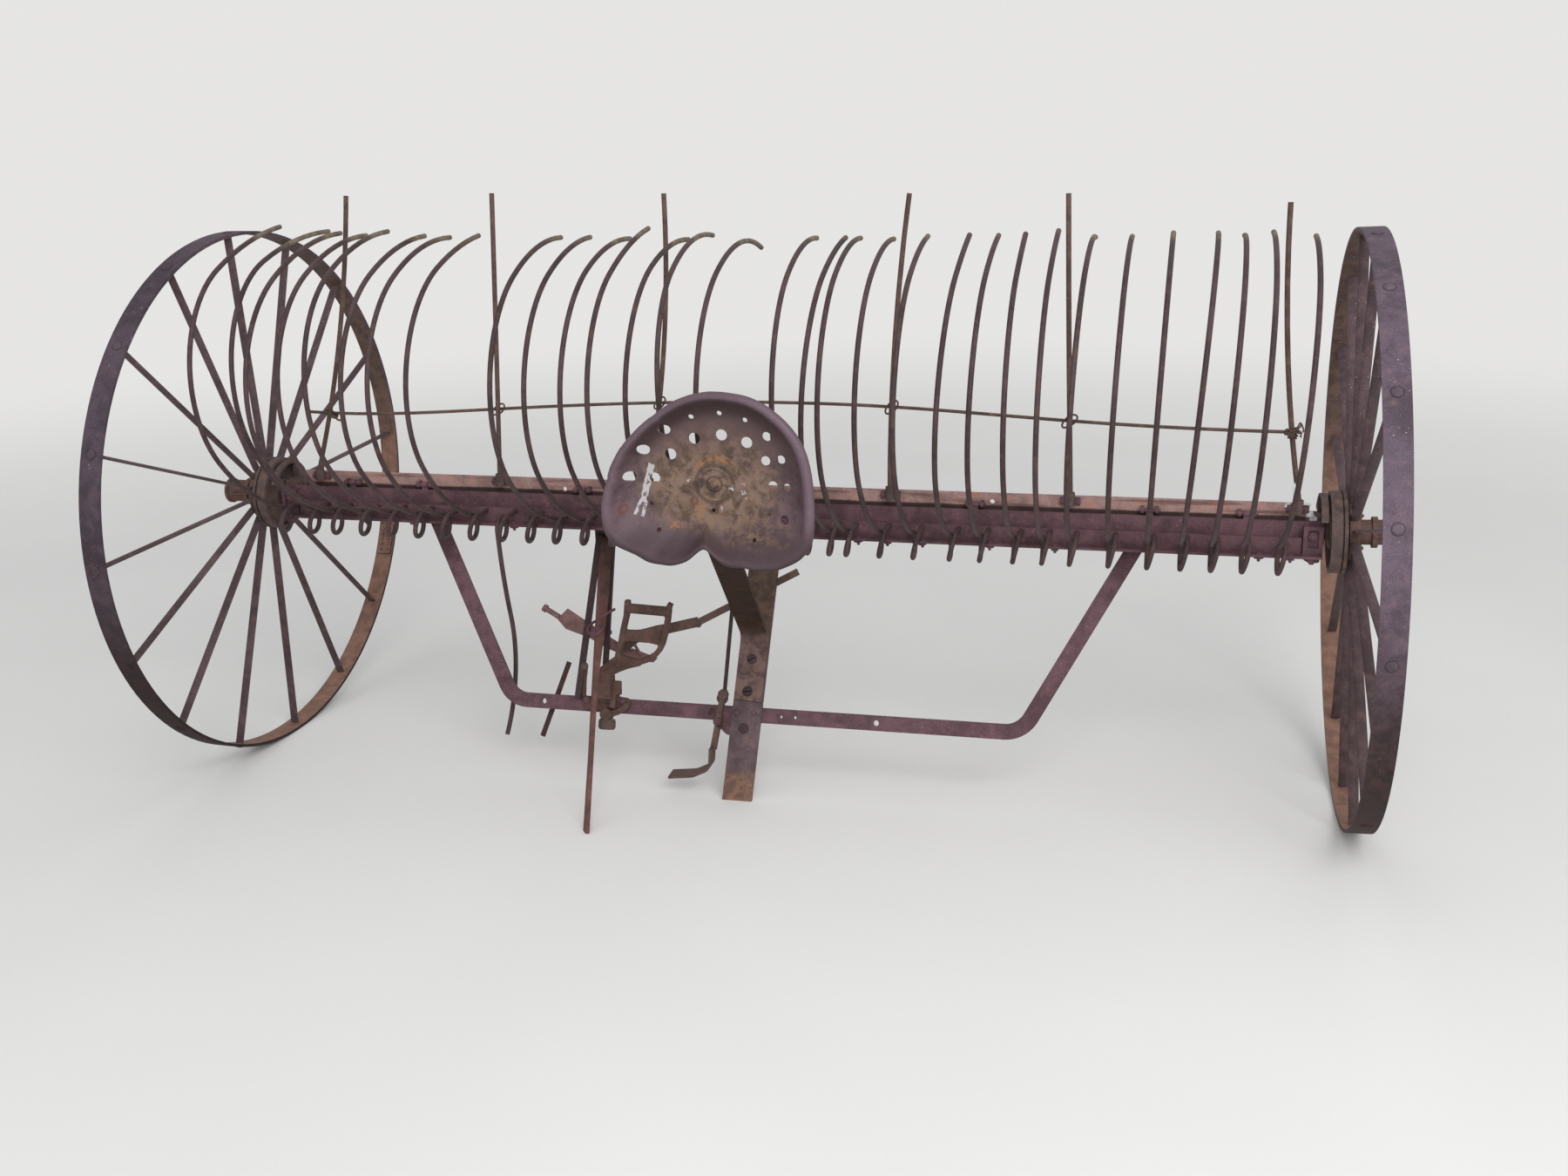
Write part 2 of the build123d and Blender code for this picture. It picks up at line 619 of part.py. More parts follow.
# Gusset beside the upright, with the foot lever that pivots the trip rod's end.
gusset = plate(draft_plane, [(-108, -496), (-62, -493), (-60, -565), (-76, -561), (-100, -541)], 5.5, 13)
gusset = gusset - upright - draft
keep("lever_gusset", gusset)
lever = flat(on_draft(-85, -450, 22), on_draft(-104, -600, 22), 13, 18, (0, -1, 0.4))
lever = lever + draft_plane * (Pos(-95, -530, 24) * Cylinder(11, 22))
lever = lever + draft_plane * (Pos(-87, -462, 22) * Cylinder(12, 18))
tread_y = -213.0
path = FilletPolyline(
    at(-104, tread_y, -555),
    at(-108, tread_y, -610),
    at(-152, tread_y, -632),
    at(-216, tread_y, -640),
    radius=26,
)
tread = strap(path, 46, 6, (0, 1, 0))
lever = (lever + tread) - trip_rod - gusset
keep("foot_lever", lever)
back_strap = flat(on_draft(-510, -405, -7.5), on_draft(-570, -600, -7.5), 13, 4, (0, -1, 0.37))
keep("back_strap", back_strap - draft)

# Clamp on the draft bar, and the foot pedal on it.
# x and place along the frame from and to, and how far it stands out in front
CLAMP_BLOCKS = [
    (-466, -334, -530, -482, 5.5, 17),
    (-384, -362, -515, -443, 17, 33),
    (-472, -453, -488, -405, 5.5, 17),
    (-376, -355, -486, -450, 5.5, 17),
    (-420, -362, -496, -462, 5.5, 30),
]
clamp = None
for x0, x1, s0, s1, z0, z1 in CLAMP_BLOCKS:
    cheek = Pos((x0 + x1) / 2, (s0 + s1) / 2, (z0 + z1) / 2) * Box(x1 - x0, s1 - s0, z1 - z0)
    clamp = cheek if clamp is None else clamp + cheek
clamp = clamp + Pos(-462.5, -405, 11.25) * Cylinder(11, 11.5)
clamp = clamp + Pos(-391, -533, 26) * Cylinder(16, 30)
nut = Rot(90, 0, 0) * extrude(RegularPolygon(24, 6), 28)
clamp = clamp + Pos(-390, -543, 24) * nut
clamp = draft_plane * clamp
wing = plate(draft_plane, [(-376, -495), (-331, -501), (-343, -528), (-374, -537)], 16, 26)
clamp = (clamp + wing) - draft - prop - strut_b
keep("pedal_bracket", clamp)

PEDAL_Y = -182.0
PEDAL_THICK = 16.0
# x and height
PEDAL_OUTLINE = [
    (-329, -194),
    (-311, -192),
    (-309, -207),
    (-213, -212),
    (-212, -196),
    (-197, -197),
    (-196, -206),
    (-212, -268),
    (-226, -325),
    (-243, -352),
    (-290, -377),
    (-352, -400),
    (-362, -410),
    (-370, -440),
    (-418, -442),
    (-410, -398),
    (-382, -368),
    (-360, -345),
    (-347, -300),
    (-334, -240),
]
GRIP_WINDOW = [(-315, -228), (-218, -233), (-226, -256), (-290, -270), (-325, -269)]
TOE_WINDOW = [(-339, -300), (-241, -304), (-253, -332), (-296, -346), (-346, -339)]
pedal_plane = Plane(origin=at(0, PEDAL_Y, 0), x_dir=(1, 0, 0), z_dir=(0, -1, 0))
pedal_half = PEDAL_THICK / 2
pedal = plate(pedal_plane, PEDAL_OUTLINE, -pedal_half, pedal_half)
for window in (GRIP_WINDOW, TOE_WINDOW):
    pedal = pedal - plate(pedal_plane, window, -pedal_half - 9, pedal_half + 9)
pedal = pedal + bar(at(-322, PEDAL_Y, -217), at(-206, PEDAL_Y, -222), 11.5)
pedal = pedal + block(-413, -370, PEDAL_Y - 14, PEDAL_Y + 34, -462, -398)
keep("foot_pedal", pedal - clamp - draft - prop - strut_b - strut_c)

for name, solid in parts.items():
    export_step(solid, "parts/" + name + ".step")
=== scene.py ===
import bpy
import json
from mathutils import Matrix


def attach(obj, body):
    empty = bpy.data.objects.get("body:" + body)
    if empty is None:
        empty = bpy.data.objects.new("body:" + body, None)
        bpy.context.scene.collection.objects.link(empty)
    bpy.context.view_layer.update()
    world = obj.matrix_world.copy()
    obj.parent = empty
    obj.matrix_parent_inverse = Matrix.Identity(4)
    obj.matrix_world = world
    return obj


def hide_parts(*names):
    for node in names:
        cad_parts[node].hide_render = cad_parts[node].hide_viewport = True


bl_info = {
    "name": "Hay Rake Dressing",
    "version": (1, 0, 0),
    "blender": (4, 5, 0),
    "location": "View3D > Sidebar > Hay Rake",
    "description": "Dresses the horse-drawn hay rake with rust, rivets, bolts and wire, and sets its stage",
    "category": "Object",
}

import json
import math
import random

import bmesh
import bpy
from mathutils import Matrix, Vector

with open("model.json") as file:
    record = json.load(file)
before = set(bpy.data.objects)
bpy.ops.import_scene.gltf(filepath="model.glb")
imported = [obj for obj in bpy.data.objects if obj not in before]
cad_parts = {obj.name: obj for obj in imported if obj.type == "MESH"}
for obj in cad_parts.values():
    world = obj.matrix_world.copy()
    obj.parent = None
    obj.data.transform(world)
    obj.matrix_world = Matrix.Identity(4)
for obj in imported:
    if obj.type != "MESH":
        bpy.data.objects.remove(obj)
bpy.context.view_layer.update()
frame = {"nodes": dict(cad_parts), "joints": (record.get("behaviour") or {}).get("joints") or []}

MM = 0.001
WHEEL_R = 686.0

# The draft frame's plane: where it meets the beam, and its lean.
DRAFT_TOP_Y, DRAFT_TOP_H = 24.0, -12.0
DRAFT_TILT = math.radians(20.2)
DRAFT_FACE = 5.5


def spot(x, y, h):
    """A point in metres from millimetres, its height given over the wheel centres."""
    return Vector((x, y, h + WHEEL_R)) * MM


def on_draft(x, up, out):
    """A point in metres on the draft frame's plane, out towards the front."""
    y = DRAFT_TOP_Y + up * math.sin(DRAFT_TILT) - out * math.cos(DRAFT_TILT)
    h = DRAFT_TOP_H + up * math.cos(DRAFT_TILT) + out * math.sin(DRAFT_TILT)
    return spot(x, y, h)


DRAFT_OUT = Vector((0, -math.cos(DRAFT_TILT), math.sin(DRAFT_TILT)))
FRONT = Vector((0, -1, 0))
UP = Vector((0, 0, 1))


# Settings that a user would change.
class RakeColours(bpy.types.PropertyGroup):
    """Colours of the rusted iron."""

    def tone(name, text, value):
        return bpy.props.FloatVectorProperty(
            name=name, description=text, subtype="COLOR", size=3, min=0, max=1, default=value
        )

    rim: tone("Rim", "Weathered purple iron of the wheels' treads", (0.108, 0.078, 0.102))
    rim_inside: tone("Rim inside", "Orange-brown face of the rims towards the hubs", (0.235, 0.130, 0.095))
    spoke: tone("Spoke", "Weathered purple-grey iron of the spokes", (0.112, 0.074, 0.080))
    wheel_low: tone("Wheel low", "Darker brown iron low on the wheels", (0.040, 0.022, 0.019))
    casting: tone("Casting", "Grey-brown cast iron of the drums and hoods", (0.112, 0.078, 0.071))
    frame: tone("Frame", "Weathered iron of the draft bar and the rake head", (0.128, 0.069, 0.082))
    upright: tone("Upright", "Purple iron of the upright", (0.120, 0.080, 0.088))
    # The spring's tone holds painted shade: it is darker than the steel, as if in the shade of the seat above.
    spring: tone("Seat spring", "Dark brown steel of the seat's spring", (0.040, 0.019, 0.011))
    beam: tone("Beam", "Pinkish iron of the axle beam", (0.360, 0.225, 0.205))
    beam_rust: tone("Beam rust", "Orange rust on the axle beam", (0.43, 0.175, 0.090))
    tooth: tone("Tooth", "Dark spring steel of the teeth", (0.075, 0.047, 0.048))
    tip: tone("Tooth tip", "Dry tan rust at the teeth's tips", (0.225, 0.180, 0.130))
    rod: tone("Rod", "Brown iron of the stripper rods and the tie rod", (0.120, 0.076, 0.062))
    pedal: tone("Pedal", "Reddish-brown cast iron of the foot pedal", (0.105, 0.058, 0.048))
    plate: tone("Trip plate", "Greyish pink iron of the trip plate", (0.200, 0.112, 0.106))
    prop: tone("Prop", "Reddish pink iron of the prop", (0.155, 0.066, 0.055))
    strut: tone("Strut", "Dark purple iron of the struts", (0.060, 0.038, 0.040))
    hub: tone("Hub", "Reddish-brown iron of the hubs", (0.135, 0.078, 0.066))
    dirt: tone("Dirt", "Dry tan dirt caught in a corner", (0.34, 0.20, 0.12))
    # The gap tone paints shade: it colours the thin dark rings, sheets and discs that stand for the shade in the
    # drums' grooves, the screw heads' slots and the clamp's eye.
    dark: tone("Gap", "Greasy black iron, as in slots and holes", (0.016, 0.011, 0.011))
    seat: tone("Seat", "Smooth purple-brown iron of the seat", (0.120, 0.076, 0.088))
    hollow: tone("Seat hollow", "Brown middle of the seat", (0.160, 0.105, 0.080))
    lichen: tone("Lichen", "Ochre bloom in the seat's hollow", (0.240, 0.155, 0.078))
    ember: tone("Ember", "Bright orange rust in small patches", (0.34, 0.155, 0.068))
    white: tone("Droppings", "Dried bird droppings", (0.60, 0.60, 0.62))
    floor: tone("Floor", "Plain pale floor", (0.80, 0.79, 0.77))
    backdrop: tone("Backdrop", "Plain pale background", (0.79, 0.785, 0.775))


class RakeSizes(bpy.types.PropertyGroup):
    """Sizes of the small fasteners."""

    def length(name, text, value):
        return bpy.props.FloatProperty(
            name=name, description=text, subtype="DISTANCE", unit="LENGTH", min=0, default=value * MM
        )

    rivet: length("Tread rivet", "Radius of the rivet heads on the wheels' treads", 11.6)
    rivet_rise: length("Rivet rise", "How far the tread rivets stand proud", 3.4)
    wire: length("Tie wire", "Radius of the wire clips that hold the tie rod", 2.3)
    seat_wall: length("Seat wall", "Thickness of the pressed seat", 3.0)


class RakeStage(bpy.types.PropertyGroup):
    """The camera and the light."""

    def number(name, text, value, **kind):
        return bpy.props.FloatProperty(name=name, description=text, default=value, **kind)

    lens: number("Lens", "Focal length on a 36 mm sensor", 36.25, unit="CAMERA")
    place: bpy.props.FloatVectorProperty(
        name="Camera place", description="Where the camera stands", subtype="XYZ", unit="LENGTH",
        default=(0.9344, -3.7082, 1.6745),
    )
    turn: number("Turn", "Turn to the left", 0.2372, subtype="ANGLE")
    dip: number("Dip", "Tilt below the level", 0.3023, subtype="ANGLE")
    roll: number("Roll", "Roll about the line of sight", -0.0235, subtype="ANGLE")
    sky: number("Sky light", "Strength of the soft light from all round", 0.66, min=0)
    lamp: number("Lamp", "Strength of the broad lamp overhead, in watts", 270.0, min=0)


# Shader maths as plain expressions.
class Sock:
    """A value or colour in a material, so that + - * / and ** add their nodes."""

    def __init__(self, paint, out):
        self.paint = paint
        self.out = out

    def maths(self, operation, first, second):
        return self.paint.node("ShaderNodeMath", {"operation": operation}, {0: first, 1: second})

    def __add__(self, other):
        return self.maths("ADD", self, other)

    __radd__ = __add__

    def __sub__(self, other):
        return self.maths("SUBTRACT", self, other)

    def __rsub__(self, other):
        return self.maths("SUBTRACT", other, self)

    def __mul__(self, other):
        return self.maths("MULTIPLY", self, other)

    __rmul__ = __mul__

    def __truediv__(self, other):
        return self.maths("DIVIDE", self, other)

    def __pow__(self, other):
        return self.maths("POWER", self, other)


class Paint:
    """A material, or the sky, and the nodes that are added to it."""

    def __init__(self, name, sky=False):
        self.material = (bpy.data.worlds if sky else bpy.data.materials).new(name)
        self.material.use_nodes = True
        self.tree = self.material.node_tree
        self.tree.nodes.clear()
        self.end = self.tree.nodes.new("ShaderNodeOutputWorld" if sky else "ShaderNodeOutputMaterial")

    def node(self, kind, settings=None, sockets=None, out=0):
        """Adds a node: its settings first, then the values or links of its sockets."""
        made = self.tree.nodes.new(kind)
        for key, value in (settings or {}).items():
            setattr(made, key, value)
        for key, value in (sockets or {}).items():
            if isinstance(value, Sock):
                self.tree.links.new(value.out, made.inputs[key])
            else:
                made.inputs[key].default_value = value
        return Sock(self, made.outputs[out])

    def where(self):
        return self.node("ShaderNodeTexCoord", out="Object")

    def axes(self, place):
        """The x, y and z of a place, in millimetres."""
        parts = self.node("ShaderNodeSeparateXYZ", None, {0: place}).out.node
        return [Sock(self, parts.outputs[axis]) * 1000.0 for axis in "XYZ"]

    def facing(self):
        """The x, y and z of the way the surface faces."""
        normal = self.node("ShaderNodeTexCoord", out="Normal")
        parts = self.node("ShaderNodeSeparateXYZ", None, {0: normal}).out.node
        return [Sock(self, parts.outputs[axis]) for axis in "XYZ"]

    def seen(self):
        """1 for what is seen straight, in a gloss or through glass, and 0 for what only lights."""
        rays = self.node("ShaderNodeLightPath").out.node
        kinds = ("Is Camera Ray", "Is Glossy Ray", "Is Transmission Ray")
        first, second, third = [Sock(self, rays.outputs[kind]) for kind in kinds]
        return first + second + third

    def close(self, shader):
        """Joins a shader to the output."""
        self.tree.links.new(shader.out, self.end.inputs["Surface"])
        return self.material

    def noise(self, place, scale, detail=4.0, rough=0.55, bend=0.0):
        values = {"Vector": place, "Scale": scale, "Detail": detail, "Roughness": rough, "Distortion": bend}
        return self.node("ShaderNodeTexNoise", None, values)

    def specks(self, place, scale):
        """Distance to the nearest of scattered points."""
        return self.node("ShaderNodeTexVoronoi", None, {"Vector": place, "Scale": scale})

    def stretch(self, place, x, y, z):
        return self.node("ShaderNodeVectorMath", {"operation": "MULTIPLY"}, {0: place, 1: (x, y, z)})

    def ease(self, value, low, high):
        """0 below low, 1 above high, and smooth between."""
        if low < high:
            values = {"Value": value, "From Min": low, "From Max": high}
            return self.node("ShaderNodeMapRange", {"interpolation_type": "SMOOTHSTEP"}, values)
        return 1.0 - self.ease(value, high, low)

    def mix(self, first, second, share):
        """A colour between two colours."""
        settings = {"data_type": "RGBA", "blend_type": "MIX"}
        return self.node("ShaderNodeMix", settings, {0: share, 6: first, 7: second}, out=2)

    def bump(self, height, strength, distance):
        return self.node("ShaderNodeBump", None, {"Strength": strength, "Distance": distance, "Height": height})

    def skin(self, colour, roughness, normal, gloss):
        sockets = {"Base Color": colour, "Roughness": roughness, "Normal": normal, "Specular IOR Level": gloss}
        return self.node("ShaderNodeBsdfPrincipled", None, sockets)


def rgba(colour, share=1.0):
    return (colour[0] * share, colour[1] * share, colour[2] * share, 1.0)


GLOSS = 0.18


class Iron(Paint):
    """Rusted iron: broad tone, blotches, brighter rust and fine grain. More is then blended over it."""

    def __init__(self, name, tone, bright, patch_share):
        super().__init__(name)
        self.place = self.where()
        self.broad = self.noise(self.place, 5.0, 3.0, 0.6)
        self.blotch = self.noise(self.place, 34.0, 6.0, 0.65, 0.4)
        self.grain = self.noise(self.place, 330.0, 4.0, 0.7)
        self.mottle = self.ease(self.blotch, 0.36, 0.62)
        light = self.ease(self.broad * 0.5 + self.blotch * 0.5, 0.38, 0.62)
        self.colour = self.mix(rgba(tone, 0.66), rgba(tone, 1.22), light)
        self.blend(rgba(bright), self.ease(self.blotch, 0.54, 0.74) * patch_share)
        self.shade(self.ease(self.grain, 0.25, 0.8) * 0.55 + 0.72)

    def blend(self, colour, share):
        self.colour = self.mix(self.colour, colour, share)

    def shade(self, value):
        """Makes the colour darker or lighter by a value."""
        scaled = {0: self.colour, 3: value}
        self.colour = self.node("ShaderNodeVectorMath", {"operation": "SCALE"}, scaled)

    def mottled(self, dark, light):
        """A colour that goes from dark to light with the blotches."""
        return self.mix(rgba(dark), rgba(light), self.mottle)

    def rise(self, wander):
        """Height over the wheel centres in millimetres, with the broad tone's wander."""
        return self.axes(self.place)[2] + (self.broad - 0.5) * wander - WHEEL_R

    def lichen(self, share):
        """Small pale specks over the iron."""
        dots = self.ease(self.specks(self.place, 75.0), 0.16, 0.05)
        some = self.ease(self.noise(self.place, 11.0, 2.0), 0.5, 0.62)
        self.blend((0.42, 0.38, 0.36, 1.0), dots * some * share)

    def pitted(self):
        """Height of a grainy, pitted surface."""
        pits = self.ease(self.specks(self.place, 210.0), 0.0, 0.35)
        return self.grain * 0.5 + self.blotch * 0.35 + pits * 0.35

    def roughness(self, base, spread=0.2):
        return self.ease(self.blotch, 0.3, 0.8) * spread + base

    def done(self, roughness, height, strength, depth, gloss=GLOSS):
        return self.close(self.skin(self.colour, roughness, self.bump(height, strength, depth), gloss))

    def forged(self, base, gloss):
        return self.done(self.roughness(base), self.grain * 0.5 + self.blotch * 0.4, 0.8, 0.0008, gloss)


# The plain irons: brighter rust, its share, roughness, lichen, and where it differs, grain depth and gloss.
PLAIN_IRONS = {
    "frame": ((0.20, 0.100, 0.070), 0.40, 0.70, 0.4),
    "plate": ((0.30, 0.165, 0.125), 0.4, 0.76, 0.3),
    "strut": ((0.12, 0.062, 0.045), 0.4, 0.78, 0.2),
    "casting": ((0.25, 0.120, 0.062), 0.42, 0.82, 0.35, 0.0010),
    "hub": ((0.24, 0.115, 0.07), 0.42, 0.8, 0.3, 0.0010),
    "pedal": ((0.17, 0.088, 0.060), 0.45, 0.80, 0.2, 0.0012, 0.25),
    "rod": ((0.22, 0.125, 0.080), 0.45, 0.76, 0.35),
    "dirt": ((0.46, 0.27, 0.15), 0.6, 0.95, 0.2, 0.0014),
    # dark: painted shade, for the pieces that stand for grooves, slots and holes.
    "dark": ((0.03, 0.018, 0.014), 0.4, 0.8, 0.0),
}


def plain_iron(name, tone, bright, patch_share, rough, lichen, depth=0.0006, gloss=GLOSS):
    iron = Iron(name + "_iron", tone, bright, patch_share)
    iron.lichen(lichen)
    return iron.done(iron.roughness(rough - 0.12, 0.22), iron.pitted(), 0.85, depth, gloss)


def wheel_iron(name, colours, inner):
    """A wheel's purple iron: browner and darker low down, and rustier on a rim's inner face. On a rim, painted shade
    makes the left wheel darker than the right, and darkens the top of the inner face, where it looks down.
    """
    iron = Iron(name + "_iron", getattr(colours, name), (0.20, 0.115, 0.090), 0.35)
    x, y, z = iron.axes(iron.place)
    rise = z - WHEEL_R
    low = iron.ease(iron.rise(200.0), 130.0, -360.0) * (0.92 if inner else 0.35)
    iron.blend(iron.mottled(rgba(colours.wheel_low, 0.5), rgba(colours.wheel_low, 1.15)), low)
    if inner:
        # Painted shade: the left rim is darker than the right, as if lit from the right.
        iron.shade(iron.ease(x, -300.0, 300.0) * 0.34 + 0.76)
        face = iron.facing()
        outwards = (face[1] * y + face[2] * rise) / (y * y + rise * rise) ** 0.5
        rust = iron.mottled(rgba(colours.rim_inside, 0.75), rgba(colours.rim_inside, 1.15))
        # Painted shade: high up, where a rim's inner face looks down at the hub, its orange goes over to dark.
        painted_shade = iron.mottled((0.050, 0.036, 0.032), (0.095, 0.064, 0.054))
        rust = iron.mix(rust, painted_shade, iron.ease(iron.rise(300.0), -60.0, 160.0) * 0.8)
        iron.blend(rust, iron.ease(outwards, -0.3, -0.6) * 0.95)
    iron.lichen(iron.ease(rise, -100.0, 420.0) * 0.6 + 0.2)
    return iron.done(iron.mottle * 0.2 + 0.6, iron.pitted(), 0.75, 0.0006)


def upright_iron(colours):
    """The upright's purple iron, olive brown behind the spring and orange at its foot."""
    iron = Iron("upright_iron", colours.upright, (0.19, 0.115, 0.085), 0.45)
    rise = iron.rise(120.0)
    iron.blend(iron.mottled((0.058, 0.036, 0.025), (0.125, 0.080, 0.052)), iron.ease(rise, -400.0, -280.0) * 0.85)
    iron.blend(iron.mottled((0.13, 0.072, 0.05), (0.28, 0.145, 0.09)), iron.ease(rise, -600.0, -660.0) * 0.8)
    iron.lichen(0.5)
    return iron.forged(0.6, 0.25)


def spring_iron(colours):
    """The spring's dark brown steel, partly its own colour and partly painted shade from the seat above; purple-brown
    and rustier on its foot.
    """
    iron = Iron("spring_iron", colours.spring, (0.085, 0.042, 0.024), 0.45)
    foot = iron.mottled((0.078, 0.047, 0.044), (0.175, 0.108, 0.098))
    flecks = iron.ease(iron.noise(iron.place, 52.0, 5.0, 0.7), 0.60, 0.68)
    foot = iron.mix(foot, (0.26, 0.15, 0.09, 1.0), flecks * 0.6)
    iron.blend(foot, iron.ease(iron.rise(140.0), -240.0, -330.0) * 0.9)
    return iron.forged(0.6, 0.2)


def prop_iron(colours):
    """The prop's reddish pink iron, darker towards its top, and darker on its right leg as painted shade."""
    iron = Iron("prop_iron", colours.prop, (0.26, 0.125, 0.09), 0.45)
    high = iron.ease(iron.rise(160.0), -240.0, -110.0)
    # Painted shade: faces that look to the right are darker.
    right = iron.ease(iron.facing()[0], 0.05, 0.45)
    dark = iron.mottled((0.045, 0.026, 0.024), (0.095, 0.050, 0.044))
    iron.blend(dark, iron.ease(high * 0.75 + right * 0.4, 0.1, 0.9) * 0.9)
    return iron.forged(0.62, 0.25)


def beam_iron(colours):
    """The beam's pinkish iron, with orange rust, dark streaks, pale specks and a painted shadow line over the rake
    head.
    """
    iron = Iron("beam_iron", colours.beam, colours.beam_rust, 0.85)
    streaks = iron.noise(iron.stretch(iron.place, 2.0, 14.0, 40.0), 1.6, 5.0, 0.6)
    iron.blend((0.105, 0.058, 0.055, 1.0), iron.ease(streaks, 0.52, 0.66) * 0.7)
    patches = iron.ease(iron.noise(iron.place, 16.0, 5.0, 0.7), 0.54, 0.68)
    iron.blend(rgba(colours.beam_rust), patches * 0.6)
    iron.lichen(0.75)
    # Painted shadow: a dark line low on the beam's front face, just over the rake head, where the two meet.
    painted_shade = iron.ease(iron.rise(8.0), 38.0, 33.0) * iron.ease(iron.facing()[1], -0.4, -0.8)
    iron.blend((0.022, 0.014, 0.014, 1.0), painted_shade * 0.9)
    return iron.done(0.86, iron.grain * 0.6 + iron.blotch * 0.4, 0.8, 0.0009)


def tooth_iron(colours):
    """Dark spring steel, going over to dry tan rust towards the tips."""
    iron = Iron("tooth_iron", colours.tooth, (0.17, 0.085, 0.055), 0.35)
    x, y, z = iron.axes(iron.place)
    wander = (iron.noise(iron.place, 9.0, 3.0) - 0.5) * 110.0
    dry = iron.ease(z + wander, WHEEL_R + 590.0, WHEEL_R + 650.0) * iron.ease(y + wander, -120.0, -40.0)
    tan = iron.mix(rgba(colours.tip, 0.6), rgba(colours.tip, 1.15), iron.ease(iron.blotch, 0.35, 0.65))
    iron.blend(tan, dry * 0.9)
    return iron.done(iron.roughness(0.5) + dry * 0.2, iron.grain * 0.6 + iron.blotch * 0.4, 0.6, 0.0005)


# Where marks lie on the seat: millimetres from its middle, and heights over the wheel centres.
SEAT_X, SEAT_H = -1.0, 185.0
SEAT_BOLT = (5.0, 183.0)
SEAT_RIM_Y = -545.0
SEAT_STREAK = ((-165.0, 108.0), (-132.0, 231.0))
SEAT_SPLASHES = [
    (-53.0, 190.0, 6.0), (44.0, 176.0, 10.0), (73.0, 185.0, 9.0), (71.0, 167.0, 9.0), (75.0, 151.0, 8.0),
    (18.0, 131.0, 9.0),
]
SEAT_RINGS = [(-196.0, 128.0, 8.0), (-41.0, 145.0, 7.0)]
# Bright orange patches: middle, half width and half height.
SEAT_EMBERS = [(-88.0, 91.0, 24.0, 10.0), (-26.0, 119.0, 16.0, 20.0)]
SEAT_OCHRE = (93.0, 84.0, 82.0, 30.0)
# The orange arc over the bolt: middle, radius and half width.
SEAT_ARC = (10.0, 190.0, 53.0, 8.0)


def oval(paint, across, rise, place, soft=0.45):
    """1 inside an oval on the seat, fading over its edge."""
    x, h, wide, tall = place
    reach = (((across - x) / wide) ** 2 + ((rise - (h - SEAT_H)) / tall) ** 2) ** 0.5
    return paint.ease(reach, 1.0 + soft, 1.0 - soft)


def away(across, rise, x, h):
    """How far a point of the seat is from another."""
    return ((across - x) ** 2 + (rise - (h - SEAT_H)) ** 2) ** 0.5


def seat_streak(iron, across, rise, wander):
    """1 on the long splash at the left: a broad run above and two thin legs below."""
    (x0, h0), (x1, h1) = SEAT_STREAK
    length = math.hypot(x1 - x0, h1 - h0)
    ux, uh = (x1 - x0) / length, (h1 - h0) / length
    right, up = across - x0, rise - (h0 - SEAT_H)
    along = right * ux + up * uh
    ragged = (iron.noise(iron.place, 70.0, 4.0, 0.7) - 0.5) * 8.0
    aside = right * -uh + up * ux + (wander - 0.5) * 10.0 + ragged
    off = (aside ** 2 + 1.0) ** 0.5 - iron.ease(along, 46.0, 28.0) * 7.5
    off = (off ** 2 + 0.01) ** 0.5 / (iron.ease(along, 24.0, 60.0) * 4.5 + 4.0)
    inside = iron.ease(off, 1.0, 0.7) * iron.ease(along, 0.0, 8.0) * iron.ease(along, length, length - 8.0)
    patchy = iron.ease(iron.noise(iron.place, 90.0, 4.0, 0.6), 0.36, 0.5)
    return inside * (patchy * 0.45 + iron.ease(off, 0.2, 0.75) * 0.4 + 0.15)


